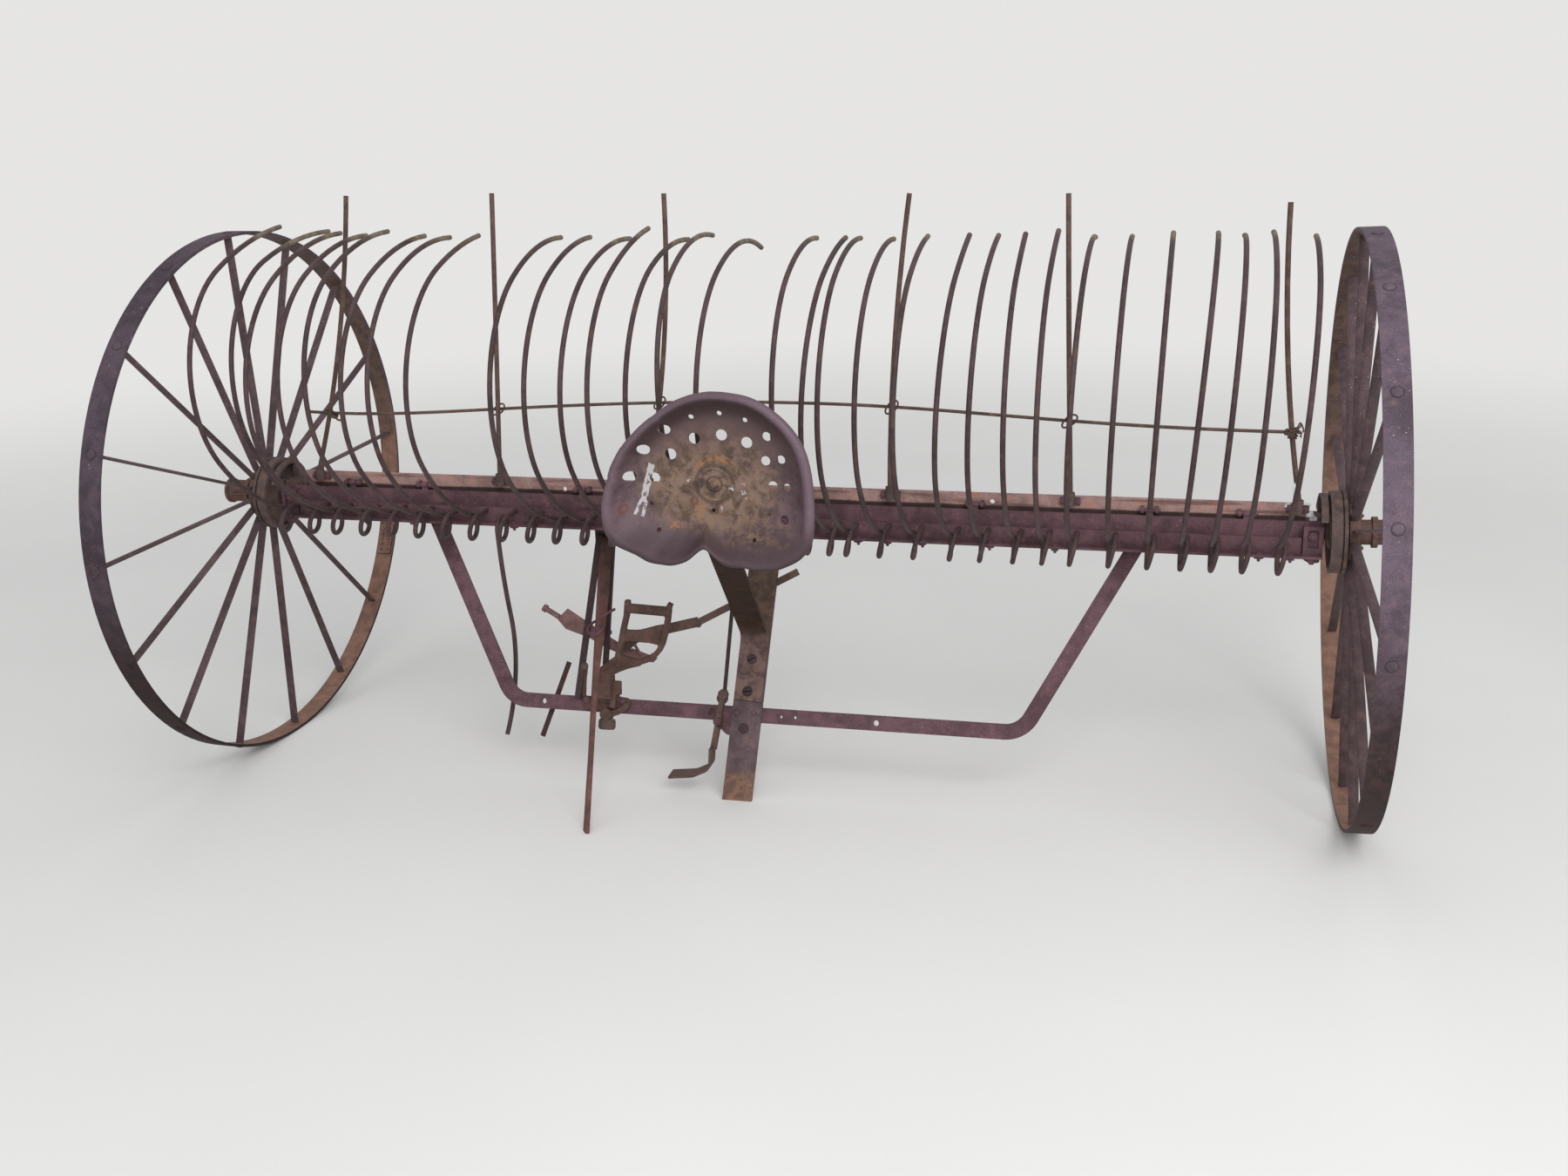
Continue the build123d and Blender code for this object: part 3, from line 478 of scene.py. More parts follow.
def seat_iron(colours):
    """The seat's smooth purple rim with a painted highlight on its crest, its mottled brown hollow and the birds'
    marks, with painted shade low down, under the rim at the top and on faces that look down.
    """
    iron = Iron("seat_iron", colours.seat, (0.15, 0.088, 0.07), 0.3)
    ease, place = iron.ease, iron.place
    x, y, z = iron.axes(place)
    across, rise = x - SEAT_X, z - (SEAT_H + WHEEL_R)
    face = iron.facing()
    wander = iron.noise(place, 14.0, 5.0, 0.7, 0.6)
    share = ((across / 236.0) ** 2 + (rise / 192.0) ** 2) ** 0.5 + (wander - 0.5) * 0.3
    crest = y + (wander - 0.5) * 6.0
    # Painted highlight: the crest of the rolled rim is lighter purple, more so towards the right.
    rim = ease(crest, SEAT_RIM_Y + 13.0, SEAT_RIM_Y + 5.0) * ease(rise, -120.0, -40.0)
    iron.blend((0.165, 0.112, 0.140, 1.0), rim * (ease(across, 40.0, 180.0) * 0.3 + 0.45))
    # Painted shade: the seat is darker low down.
    iron.blend((0.056, 0.034, 0.041, 1.0), ease(rise, -60.0, -130.0) * 0.75)
    # Painted shade: the upper part of the seat, under its rim, is darker.
    under_rim_shade = ease(rise + (wander - 0.5) * 60.0, 20.0, 100.0) * (1.0 - rim)
    iron.blend((0.120, 0.074, 0.074, 1.0), under_rim_shade * 0.75)
    middle = ease(share, 0.80, 0.45) * ease(rise, -130.0, -70.0)
    brown = iron.mix(rgba(colours.hollow, 0.42), rgba(colours.hollow, 1.45), ease(iron.blotch, 0.38, 0.62))
    iron.blend(brown, middle * (1.0 - under_rim_shade * 0.5) * 0.9)
    bloom = ease(iron.noise(place, 46.0, 8.0, 0.75, 0.6), 0.42, 0.64)
    iron.blend(rgba(colours.lichen), bloom * (oval(iron, across, rise, SEAT_OCHRE, 0.7) * 0.65 + middle * 0.35))
    arc_x, arc_h, arc_r, arc_half = SEAT_ARC
    off_arc = ((away(across, rise, arc_x, arc_h) - arc_r) ** 2) ** 0.5
    glow = ease(off_arc, arc_half * 1.5, arc_half * 0.4) * ease(rise, 30.0, 44.0)
    for patch in SEAT_EMBERS:
        glow = glow + oval(iron, across, rise, patch)
    ember = ease(iron.noise(place, 62.0, 7.0, 0.75, 0.5), 0.44, 0.60)
    iron.blend(rgba(colours.ember), ease(glow * ember, 0.0, 0.9) * 0.75)
    bolt = away(across, rise, *SEAT_BOLT)
    ring = ease(bolt, 48.0, 44.0) * ease(bolt, 36.0, 42.0) + ease(bolt, 21.0, 18.0) * ease(bolt, 13.0, 16.0)
    iron.blend((0.060, 0.038, 0.032, 1.0), ring * 0.6)
    for ring_x, ring_h, ring_r in SEAT_RINGS:
        off_ring = ((away(across, rise, ring_x, ring_h) - ring_r) ** 2) ** 0.5
        iron.blend((0.15, 0.050, 0.038, 1.0), ease(off_ring, 4.5, 1.5) * 0.7)
    marks = seat_streak(iron, across, rise, wander)
    crumbs = ease(iron.noise(place, 120.0, 5.0, 0.7), 0.50, 0.58)
    for splash_x, splash_h, splash_r in SEAT_SPLASHES:
        marks = marks + ease(away(across, rise, splash_x, splash_h), splash_r, splash_r * 0.3) * crumbs
    marks = ease(marks * ease(face[1], -0.1, -0.4), 0.15, 0.6)
    iron.blend(rgba(colours.white), marks * 0.72)
    # Painted shade: faces that look down are darker.
    iron.shade(1.0 - ease(face[2], -0.15, -0.75) * 0.45)
    height = iron.grain * 0.35 + iron.blotch * 0.3 + bloom * middle * 0.4
    return iron.done(iron.roughness(0.42) + middle * 0.25 + marks * 0.2, height, 0.6, 0.0006, 0.26)


def droppings(colours):
    paint = Paint("droppings")
    blotch = paint.noise(paint.where(), 120.0, 4.0, 0.6)
    colour = paint.mix(rgba(colours.white, 0.7), rgba(colours.white, 1.2), paint.ease(blotch, 0.35, 0.55))
    return paint.close(paint.skin(colour, 0.9, paint.bump(blotch, 0.5, 0.0008), GLOSS))


# Where the floor goes over to the backdrop's colour, in millimetres from the rake's middle.
FLOOR_NEAR, FLOOR_FAR = 2600.0, 8000.0


def floor_paint(colours):
    """The pale floor, which takes on the backdrop's colour far from the rake."""
    paint = Paint("plain_floor")
    place = paint.where()
    x, y, z = paint.axes(place)
    cloud = paint.noise(place, 1.2, 2.0, 0.5)
    colour = paint.mix(rgba(colours.floor, 0.985), rgba(colours.floor, 1.01), paint.ease(cloud, 0.3, 0.7))
    lit = paint.skin(colour, 0.95, paint.bump(paint.noise(place, 60.0), 0.05, 0.001), 0.1)
    glow = paint.node("ShaderNodeEmission", None, {"Color": rgba(colours.backdrop), "Strength": 1.0})
    far = paint.ease((x * x + y * y) ** 0.5, FLOOR_NEAR, FLOOR_FAR)
    return paint.close(paint.node("ShaderNodeMixShader", None, {0: far * paint.seen(), 1: lit, 2: glow}))


MAKERS = {
    "rim": lambda colours: wheel_iron("rim", colours, True),
    "spoke": lambda colours: wheel_iron("spoke", colours, False),
    "upright": upright_iron,
    "spring": spring_iron,
    "prop": prop_iron,
    "beam": beam_iron,
    "tooth": tooth_iron,
    "seat": seat_iron,
    "white": droppings,
    "floor": floor_paint,
}
FINISHES = {}


def finish_named(name):
    """The material of that name, made once."""
    colours = bpy.context.scene.rake_colours
    if name not in FINISHES and name in PLAIN_IRONS:
        FINISHES[name] = plain_iron(name, getattr(colours, name), *PLAIN_IRONS[name])
    elif name not in FINISHES:
        FINISHES[name] = MAKERS[name](colours)
    return FINISHES[name]


# Mesh helpers. Each one adds a closed form to a bmesh.
def across_of(axis):
    """Two unit vectors square to an axis and to each other."""
    axis = axis.normalized()
    guide = UP if abs(axis.z) < 0.9 else Vector((1, 0, 0))
    side = axis.cross(guide).normalized()
    return side, axis.cross(side).normalized()


def add_ring(shape, centre, side, other, radius, sides, turn=0.0):
    """A ring of points, its radius in metres."""
    ring = []
    for step in range(sides):
        angle = turn + 2 * math.pi * step / sides
        ring.append(shape.verts.new(centre + (side * math.cos(angle) + other * math.sin(angle)) * radius))
    return ring


def bridge(shape, low, high, shift=0):
    """Faces from one ring to the next, which may be a single point."""
    sides = len(low)
    for step in range(sides):
        after = (step + 1) % sides
        if len(high) == 1:
            shape.faces.new((low[step], low[after], high[0]))
        else:
            shape.faces.new((low[step], low[after], high[(after + shift) % sides], high[(step + shift) % sides]))


def skin_rings(shape, rings):
    """Bridges rings into a closed form."""
    for low, high in zip(rings, rings[1:]):
        bridge(shape, low, high)
    for end in (rings[0][::-1], rings[-1]):
        if len(end) > 1:
            shape.faces.new(end)


def lathe_rings(shape, base, axis, rows, sides, turn=0.0):
    axis = axis.normalized()
    side, other = across_of(axis)
    rings = []
    for radius, height in rows:
        centre = base + axis * (height * MM)
        if radius:
            rings.append(add_ring(shape, centre, side, other, radius * MM, sides, turn))
        else:
            rings.append([shape.verts.new(centre)])
    return rings


def add_lathe(shape, base, axis, rows, sides=24, turn=0.0):
    """A turned form: its rows are radius and height in millimetres, from the foot to the top."""
    skin_rings(shape, lathe_rings(shape, base, axis, rows, sides, turn))


def add_lathe_ring(shape, base, axis, rows, sides=28):
    """A turned form with a hole: its rows close on themselves."""
    rings = lathe_rings(shape, base, axis, rows, sides)
    for low, high in zip(rings, rings[1:] + rings[:1]):
        bridge(shape, low, high)


def add_tube(shape, points, radius, sides=8, closed=False):
    """A round wire through points in metres, its radius in metres."""
    count = len(points)
    ways = []
    for step in range(count):
        before = points[step - 1] if closed or step else points[0]
        after = points[(step + 1) % count] if closed or step < count - 1 else points[-1]
        ways.append((after - before).normalized())
    side = across_of(ways[0])[0]
    rings = []
    for point, way in zip(points, ways):
        side = (side - way * side.dot(way)).normalized()
        rings.append(add_ring(shape, point, side, way.cross(side), radius, sides))
    if not closed:
        skin_rings(shape, rings)
        return
    for low, high in zip(rings, rings[1:]):
        bridge(shape, low, high)
    low, high = rings[-1], rings[0]
    bridge(shape, low, high, min(range(sides), key=lambda s: (low[0].co - high[s].co).length))


def add_head(shape, base, axis, radius, rise):
    """A low domed rivet or carriage-bolt head, in millimetres."""
    profile = [(radius, -1.0), (radius, rise * 0.25), (radius * 0.86, rise * 0.72), (radius * 0.5, rise), (0, rise)]
    add_lathe(shape, base, axis, profile, 20)


def add_nut(shape, base, axis, half, rise, corners=6, turn=0.3, shank=None, tail=6.0):
    """A nut with chamfered corners, and the bolt's end that stands out of it."""
    round_r = half / math.cos(math.pi / corners)
    profile = [(half * 0.98, -0.5), (round_r, rise * 0.18), (round_r, rise * 0.8), (half * 0.95, rise), (0, rise)]
    add_lathe(shape, base, axis, profile, corners, turn)
    if shank:
        end = rise + tail
        rows = [(shank, rise - 1), (shank, end - 1), (shank * 0.7, end), (0, end)]
        add_lathe(shape, base, axis, rows, 14)


def add_washer(shape, base, axis, inner, outer, thick):
    """A flat ring, in millimetres."""
    rows = [(inner, 0), (outer, 0), (outer, thick * 0.7), (outer - thick * 0.5, thick), (inner, thick)]
    add_lathe_ring(shape, base, axis, rows)


def add_box(shape, centre, axes, halves):
    """A box from its middle, its three directions and half sizes in millimetres."""
    corners = []
    for a in (-1, 1):
        for b in (-1, 1):
            for c in (-1, 1):
                shift = axes[0] * (a * halves[0]) + axes[1] * (b * halves[1]) + axes[2] * (c * halves[2])
                corners.append(shape.verts.new(centre + shift * MM))
    for face in ((0, 1, 3, 2), (4, 6, 7, 5), (0, 4, 5, 1), (2, 3, 7, 6), (0, 2, 6, 4), (1, 5, 7, 3)):
        shape.faces.new(tuple(corners[i] for i in face))


def add_plate(shape, outline, place, near, far):
    """A flat form from its outline and its two depths."""
    front = [shape.verts.new(place(a, b, near)) for a, b in outline]
    back = [shape.verts.new(place(a, b, far)) for a, b in outline]
    shape.faces.new(front)
    shape.faces.new(tuple(reversed(back)))
    for step in range(len(outline)):
        after = (step + 1) % len(outline)
        shape.faces.new((front[step], back[step], back[after], front[after]))


def add_band(shape, line, half, place, near, far):
    """A flat band along a line."""
    left, right = [], []
    for step, (a, b) in enumerate(line):
        before, after = line[max(0, step - 1)], line[min(len(line) - 1, step + 1)]
        way = Vector((after[0] - before[0], after[1] - before[1])).normalized()
        left.append((a - way.y * half, b + way.x * half))
        right.append((a + way.y * half, b - way.x * half))
    add_plate(shape, left + right[::-1], place, near, far)


def settle(piece):
    """Applies a piece's modifiers."""
    graph = bpy.context.evaluated_depsgraph_get()
    graph.update()
    mesh = bpy.data.meshes.new_from_object(piece.evaluated_get(graph))
    piece.modifiers.clear()
    piece.data = mesh


def make_object(name, shape):
    """Makes an object of a bmesh."""
    mesh = bpy.data.meshes.new(name)
    shape.to_mesh(mesh)
    shape.free()
    made = bpy.data.objects.new(name, mesh)
    bpy.context.scene.collection.objects.link(made)
    return made


def new_piece(name, shape, finish, crease=35.0, bevel=0.0, body="frame"):
    """Makes an object of a bmesh, paints it and rides it on a body."""
    bmesh.ops.recalc_face_normals(shape, faces=shape.faces[:])
    piece = make_object(name, shape)
    mesh = piece.data
    mesh.polygons.foreach_set("use_smooth", [True] * len(mesh.polygons))
    mesh.set_sharp_from_angle(angle=math.radians(crease))
    mesh.materials.append(finish_named(finish))
    if bevel:
        soften = piece.modifiers.new("soften", "BEVEL")
        soften.width = bevel * MM
        soften.segments = 2
        soften.limit_method = "ANGLE"
    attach(piece, body)
    return piece


# What each CAD node is painted with.
NODE_FINISH = {
    "rim": ["rim_left", "rim_right"],
    "spoke": ["spokes_left", "spokes_right"],
    "hub": ["hub_left", "hub_right"],
    "casting": [
        "ratchet_drum_left", "ratchet_drum_right", "stub_axle_left", "stub_axle_right",
        "drum_hood_left", "drum_hood_right", "pedal_bracket", "rod_feet",
    ],
    "pedal": ["foot_pedal"],
    "beam": ["axle_beam", "back_strap"],
    "tooth": ["teeth", "broken_tooth", "hanging_tooth"],
    "rod": ["stripper_rods", "tie_rod", "trip_bar", "trip_link", "foot_lever"],
    "prop": ["prop_lever"],
    "plate": ["trip_plate"],
    "strut": ["strut_long", "strut_short", "hanger", "trip_rod"],
    "upright": ["upright"],
    "spring": ["seat_spring"],
    "seat": ["seat"],
}


class RAKE_OT_paint(bpy.types.Operator):
    """Paints the iron of every node of the rake"""

    bl_idname = "rake.paint"
    bl_label = "Paint Iron"

    def execute(self, context):
        chosen = {node: finish for finish, nodes in NODE_FINISH.items() for node in nodes}
        for node, piece in frame["nodes"].items():
            piece.data.materials.clear()
            piece.data.materials.append(finish_named(chosen.get(node, "frame")))
        return {"FINISHED"}


# How far each wheel is turned from a spoke straight up, in degrees.
WHEEL_TURNS = {"left": -1.8, "right": 6.9}
SPOKES = 16
FLANGE_BOLTS = 8
# Turned forms, as radius and height.
# Painted shade: a thin dark ring round the foot of each tread rivet stands for the shade under its head.
RIVET_SHADE_RING = [(11.0, -0.6), (13.2, -0.6), (13.2, 0.35), (11.0, 0.35)]
CAP_END = [(27, 0), (27, 3), (20, 5), (20, 9), (9, 12), (0, 12)]
# Painted shade: a thin dark ring on each drum stands for the shade in its groove.
DRUM_GROOVE_SHADE = [(94.5, -41.5), (95.7, -41.5), (95.7, -38.5), (94.5, -38.5)]
# Each rim's splice plate: its angle round the wheel from the first spoke, and its size on the rim's inner face.
SPLICES = {"left": 118.0, "right": 62.0}
SPLICE_R, SPLICE_HALF, SPLICE_STEPS = WHEEL_R - 8.0, 46.0, 8
SPLICE_SECTION = [(-22, 0.5), (22, 0.5), (22, -5), (-22, -5)]
SPLICE_RIVETS = [-32.0, -16.0, 0.0, 16.0, 32.0]


class Wheel:
    """A wheel's middle, its outward axis and the direction of its first spoke."""

    def __init__(self, side):
        spin = next(j for j in frame["joints"] if j["name"] == "wheel_" + side + "_spin")
        self.side = side
        self.centre, self.axis = Vector(spin["pos_m"]), Vector(spin["axis"]).normalized()
        first = self.axis.cross(Vector((0, 1, 0)))
        first = (first if first.z > 0 else -first).normalized()
        self.first = Matrix.Rotation(math.radians(WHEEL_TURNS[side]), 3, self.axis) @ first

    def way(self, degrees):
        """The direction at an angle from the first spoke."""
        return Matrix.Rotation(math.radians(degrees), 3, self.axis) @ self.first

    def at(self, degrees, reach, out=0.0):
        """A point in metres, from millimetres off the axis and outwards along it."""
        return self.centre + self.way(degrees) * (reach * MM) + self.axis * (out * MM)

    def piece(self, name, shape, finish):
        new_piece(name + "_" + self.side, shape, finish, body="wheel_" + self.side)


class RAKE_OT_wheels(bpy.types.Operator):
    """Adds the tread rivets with rings of painted shade round their feet, the rims' splice plates, the hub bolts and
    rings of painted shade for the drums' grooves
    """

    bl_idname = "rake.wheels"
    bl_label = "Add Wheel Rivets"

    def execute(self, context):
        sizes = context.scene.rake_sizes
        for side in WHEEL_TURNS:
            wheel = Wheel(side)
            axis = wheel.axis
            rivets, edges, bolts, groove_shade, splice = [bmesh.new() for _ in range(5)]
            for step in range(SPOKES):
                turn = 360 * step / SPOKES
                base, way = wheel.at(turn, WHEEL_R), wheel.way(turn)
                add_head(rivets, base, way, sizes.rivet / MM, sizes.rivet_rise / MM)
                # A ring of painted shade round each rivet's foot.
                add_lathe_ring(edges, base, way, RIVET_SHADE_RING, 24)
            wheel.piece("tread_rivets", rivets, "rim")
            wheel.piece("rivet_edges", edges, "strut")
            for step in range(FLANGE_BOLTS):
                base = wheel.at(360 * (step + 0.5) / FLANGE_BOLTS, 52.0, -3.0)
                add_nut(bolts, base, axis, 8.0, 6.0, 6, step, 4.0, 4.0)
            add_lathe(bolts, wheel.at(0, 0, 98.0), axis, CAP_END, 28)
            fin = wheel.at(0, 0, 52.0) + FRONT * (33.5 * MM)
            add_box(bolts, fin, (axis, FRONT, axis.cross(FRONT)), (24.0, 5.5, 1.6))
            wheel.piece("hub_bolts", bolts, "hub")
            # A dark ring of painted shade in the place of the drum's groove.
            add_lathe_ring(groove_shade, wheel.centre, axis, DRUM_GROOVE_SHADE, 96)
            wheel.piece("drum_groove", groove_shade, "dark")
            rings = []
            for step in range(SPLICE_STEPS + 1):
                arc = SPLICES[side] + math.degrees(SPLICE_HALF / SPLICE_R) * (2 * step / SPLICE_STEPS - 1)
                rings.append([splice.verts.new(wheel.at(arc, SPLICE_R + drop, out)) for out, drop in SPLICE_SECTION])
            skin_rings(splice, rings)
            for place in SPLICE_RIVETS:
                arc = SPLICES[side] + math.degrees(place / SPLICE_R)
                for out in (-11, 11):
                    add_head(splice, wheel.at(arc, SPLICE_R - 5, out), -wheel.way(arc), 5.0, 3.0)
            wheel.piece("rim_splice", splice, "rim")
        return {"FINISHED"}


# Where each stripper rod stands on the beam, and where the tie rod crosses it.
ROD_FEET = [-1213.0, -703.0, -300.0, 313.0, 745.0, 1262.0]
ROD_Y, TIE_Y = -18.0, -8.0
FOOT_FACE_Y, BEAM_FACE_Y, BEAM_BACK_Y = -12.0, -6.0, 2.0
# The wire clips: where, how long and how wide each loop is, and how steep it stands.
TIE_CLIPS = [
    (-694.0, 243.0, 20.0, 9.5, 38.0),
    (-264.0, 268.0, 19.0, 9.0, 46.0),
    (317.0, 270.0, 20.0, 10.0, 48.0),
    (738.0, 246.0, 21.0, 10.0, 40.0),
]
LEFT_CLIP, RIGHT_TANGLE = (-1164.0, 221.0), (1236.0, 232.0)
LEFT_TAIL = [(15, -20, -9), (20, -23, -13), (26, -23, -15), (31, -22, -14)]
# The turns of the wire tangle at the right: half length, how steep, and how far aside.
RIGHT_TURNS = [(15.0, 24.0, 5.0), (15.5, 18.0, 0.5), (14.5, -16.0, -3.5), (15.0, -24.0, -7.5), (14.0, 48.0, -3.0)]
# Its loose strands, from its middle: across, depth and up.
RIGHT_STRANDS = [
    ((4, -22, 6), (9, -26, 12), (13, -27, 20), (16, -26, 25), (21, -25, 17), (24, -24, 8), (23, -25, 3)),
    ((-2, -27, 4), (7, -28, 9), (14, -28, 14), (18, -27, 21), (14, -24, 24)),
    ((8, -26, 2), (15, -27, 5), (20, -26, 1), (18, -25, -5), (21, -24, -8)),
    ((-15, -22, 2), (-14, -25, 9), (-8, -26, 10), (-4, -25, 7)),
]


def smooth_run(points, cuts):
    """Points along a smooth line through the given ones."""
    run = []
    last = len(points) - 1
    for step in range(last):
        a, b, c, d = points[max(0, step - 1)], points[step], points[step + 1], points[min(last, step + 2)]
        for cut in range(cuts):
            t = cut / cuts
            swing = (c - a) * (t - 2 * t ** 2 + t ** 3) * 0.5 + (d - b) * (t ** 3 - t ** 2) * 0.5
            run.append(b + (c - b) * (3 * t ** 2 - 2 * t ** 3) + swing)
    return run + [points[-1]]


def loop_points(place, steep, long, wide, shift, steps, depth):
    """A loop of wire that stands aslant. depth gives its y from the angle round it and how far across it is."""
    x, h = place
    steep = math.radians(steep)
    points = []
    for step in range(steps):
        angle = 2 * math.pi * step / steps
        along, aside = math.cos(angle) * long, math.sin(angle) * wide + shift
        across = along * math.cos(steep) - aside * math.sin(steep)
        rise = along * math.sin(steep) + aside * math.cos(steep)
        points.append(spot(x + across, depth(angle, across), h + rise))
    return points


def clip_depth(angle, across):
    """Behind the upright rod, and in front of the tie rod on both sides of it."""
    share = min(1.0, max(0.0, (abs(across) - 7.0) / 6.0))
    return TIE_Y - 1.0 - 6.0 * share * share * (3 - 2 * share)


def turn_points(place, half, steep, shift, deep=11.5):
    """One turn of wire round both rods, crossing them aslant."""
    middle = (ROD_Y + TIE_Y) / 2 - 1.0
    return loop_points(place, steep, half, 0.0, shift, 24, lambda angle, across: middle - math.sin(angle) * deep)


class RAKE_OT_beam(bpy.types.Operator):
    """Adds the bolts of the rod feet and the wire knots on the tie rod"""

    bl_idname = "rake.beam"
    bl_label = "Add Beam Bolts"

    def execute(self, context):
        sizes = context.scene.rake_sizes
        shape = bmesh.new()
        for x in ROD_FEET:
            for shift in (-18.0, 18.0):
                base = spot(x + shift, FOOT_FACE_Y, 53)
                add_nut(shape, base, FRONT, 6.5, 5.0, 4, 0.5 + shift * 0.02, 3.2, 3.0)
                add_nut(shape, spot(x + shift, BEAM_BACK_Y, 53), -FRONT, 6.5, 5.0, 6, x, 3.2, 4.0)
        new_piece("foot_bolts", shape, "frame")
        shape = bmesh.new()
        for x, h, long, wide, steep in TIE_CLIPS:
            add_tube(shape, loop_points((x, h), steep, long, wide, 0.0, 28, clip_depth), sizes.wire, 10, closed=True)
        x, h = LEFT_CLIP
        for shift in (-2.6, 2.6):
            add_tube(shape, turn_points(LEFT_CLIP, 17.0, -32.0, shift), sizes.wire, 10, closed=True)
        add_tube(shape, [spot(x + a, b, h + c) for a, b, c in LEFT_TAIL], sizes.wire * 1.2, 10)
        x, h = RIGHT_TANGLE
        for half, steep, shift in RIGHT_TURNS:
            add_tube(shape, turn_points(RIGHT_TANGLE, half, steep, shift, 12.5), sizes.wire * 0.85, 8, closed=True)
        for way in RIGHT_STRANDS:
            strand = smooth_run([spot(x + a, b, h + c) for a, b, c in way], 6)
            add_tube(shape, strand, sizes.wire * 0.8, 8)
        new_piece("tie_knots", shape, "rod")
        return {"FINISHED"}


# Bolts that hang below the rake head's lip, as places along it.
CLIP_BOLTS = [-1075.0, -940.0, -660.0, 88.0, 240.0, 312.0, 398.0, 560.0, 715.0, 1180.0, 1250.0]
LIP_UNDER, LIP_BOLT_Y, WEB_FACE_Y = -52.0, -50.0, -22.0
HEAD_END_X, HEAD_END_Y = 1298.0, -36.0


class RAKE_OT_head(bpy.types.Operator):
    """Adds the clip bolts under the rake head's lip and the bolts of its end castings"""

    bl_idname = "rake.head"
    bl_label = "Add Head Bolts"

    def execute(self, context):
        shape = bmesh.new()
        for index, x in enumerate(CLIP_BOLTS):
            base = spot(x, LIP_BOLT_Y, LIP_UNDER)
            add_nut(shape, base, -UP, 8.0, 7.0, 4, index * 0.7, 3.6, 6.0)
            add_head(shape, spot(x, LIP_BOLT_Y, LIP_UNDER + 6.0), UP, 7.0, 3.5)
        for x in (-HEAD_END_X, HEAD_END_X):
            add_nut(shape, spot(x, HEAD_END_Y, LIP_UNDER), -UP, 13.0, 14.0, 4, 0.4, 6.0, 5.0)
            add_nut(shape, spot(x, HEAD_END_Y, -4.0), FRONT, 10.0, 8.0, 6, 0.2, 5.0, 4.0)
            add_head(shape, spot(x - math.copysign(12.0, x), WEB_FACE_Y, 22.0), FRONT, 6.0, 3.0)
        new_piece("clip_bolts", shape, "frame", body="rake_head")
        return {"FINISHED"}


# Fasteners on the draft frame: x, place up the frame, how far out, radius, rise, kind and finish.
DRAFT_FASTENERS = [
    (-51.0, -505.5, 15.5, 9.0, 4.0, "head", "frame"),
    (-7.4, -504.0, 15.5, 7.5, 3.5, "head", "frame"),
    (-31.0, -544.0, 15.5, 13.0, 5.0, "head", "strut"),
    (-24.6, -450.5, 23.5, 13.0, 3.0, "slot", "strut"),
    (-18.0, -370.0, 23.5, 13.0, 3.0, "slot", "strut"),
    (-446.0, -497.0, 17.0, 8.0, 7.0, "nut", "frame"),
    (-350.0, -497.0, 17.0, 7.0, 6.0, "nut", "frame"),
    (-470.0, -503.0, 5.5, 6.0, 2.5, "head", "frame"),
    (-95.0, -530.0, 35.0, 8.0, 6.0, "nut", "frame"),
    (56.0, -505.0, 5.5, 5.0, 2.0, "head", "frame"),
    (620.0, -509.0, 5.5, 7.0, 2.5, "head", "frame"),
    (-620.0, -509.0, 5.5, 7.0, 2.5, "head", "frame"),
]
# How far each slot in the spring's screw heads is turned, by its place up the frame.
SLOT_TURNS = {-450.5: 8.0, -370.0: 30.0}


class RAKE_OT_draft(bpy.types.Operator):
    """Adds the bolts of the draft frame, the upright and the pedal clamp"""

    bl_idname = "rake.draft"
    bl_label = "Add Draft Frame Bolts"

    def execute(self, context):
        shapes = {"frame": bmesh.new(), "strut": bmesh.new()}
        slots = bmesh.new()
        for x, up, out, radius, rise, kind, finish in DRAFT_FASTENERS:
            base = on_draft(x, up, out)
            if kind == "nut":
                add_nut(shapes[finish], base, DRAFT_OUT, radius, rise, 6, x, radius * 0.5, 4.0)
            else:
                add_head(shapes[finish], base, DRAFT_OUT, radius, rise)
            # Painted shade: a thin dark sheet on each slotted head stands for the shade in its slot.
            if kind == "slot":
                turn = math.radians(SLOT_TURNS[up])
                side = Vector((math.cos(turn), 0, math.sin(turn)))
                side = (side - DRAFT_OUT * side.dot(DRAFT_OUT)).normalized()
                axes = (side, DRAFT_OUT.cross(side), DRAFT_OUT)
                add_box(slots, base + DRAFT_OUT * (rise * MM), axes, (10.5, 1.7, 0.35))
        add_washer(shapes["frame"], on_draft(-565.0, -507.0, DRAFT_FACE), DRAFT_OUT, 8.5, 13.0, 1.4)
        new_piece("draft_bolts", shapes["frame"], "frame")
        new_piece("spring_bolts", shapes["strut"], "strut")
        new_piece("bolt_slots", slots, "dark")
        return {"FINISHED"}


# The prop is an angle iron whose ridge looks forward, from its top to its foot.
PROP_TOP, PROP_FOOT = Vector((-440.0, -6.0, -84.0)), Vector((-346.0, -489.0, -686.0))
PROP_LEG, PROP_THICK = 28.0, 4.0
PROP_TURN = math.radians(62.0)
# Share of the way down, and how wide the right leg is there
PROP_RIGHT_LEG = [(0.0, 28.0), (0.19, 28.0), (0.3, 23.0), (0.42, 16.0), (0.52, 11.0), (0.75, 10.0), (1.0, 10.0)]
# The wire ring round it: how far down, its shift, half sizes and wire, and its hook's way from its middle.
RING_SHARE, RING_SHIFT = 0.335, Vector((-5, 11, 6))
RING_WIDE, RING_DEEP, WIRE_R = 20.0, 24.0, 3.6
HOOK = [(12, -12, 12), (11, -10, 22), (18, 0, 30), (30, 12, 37), (45, 24, 44)]


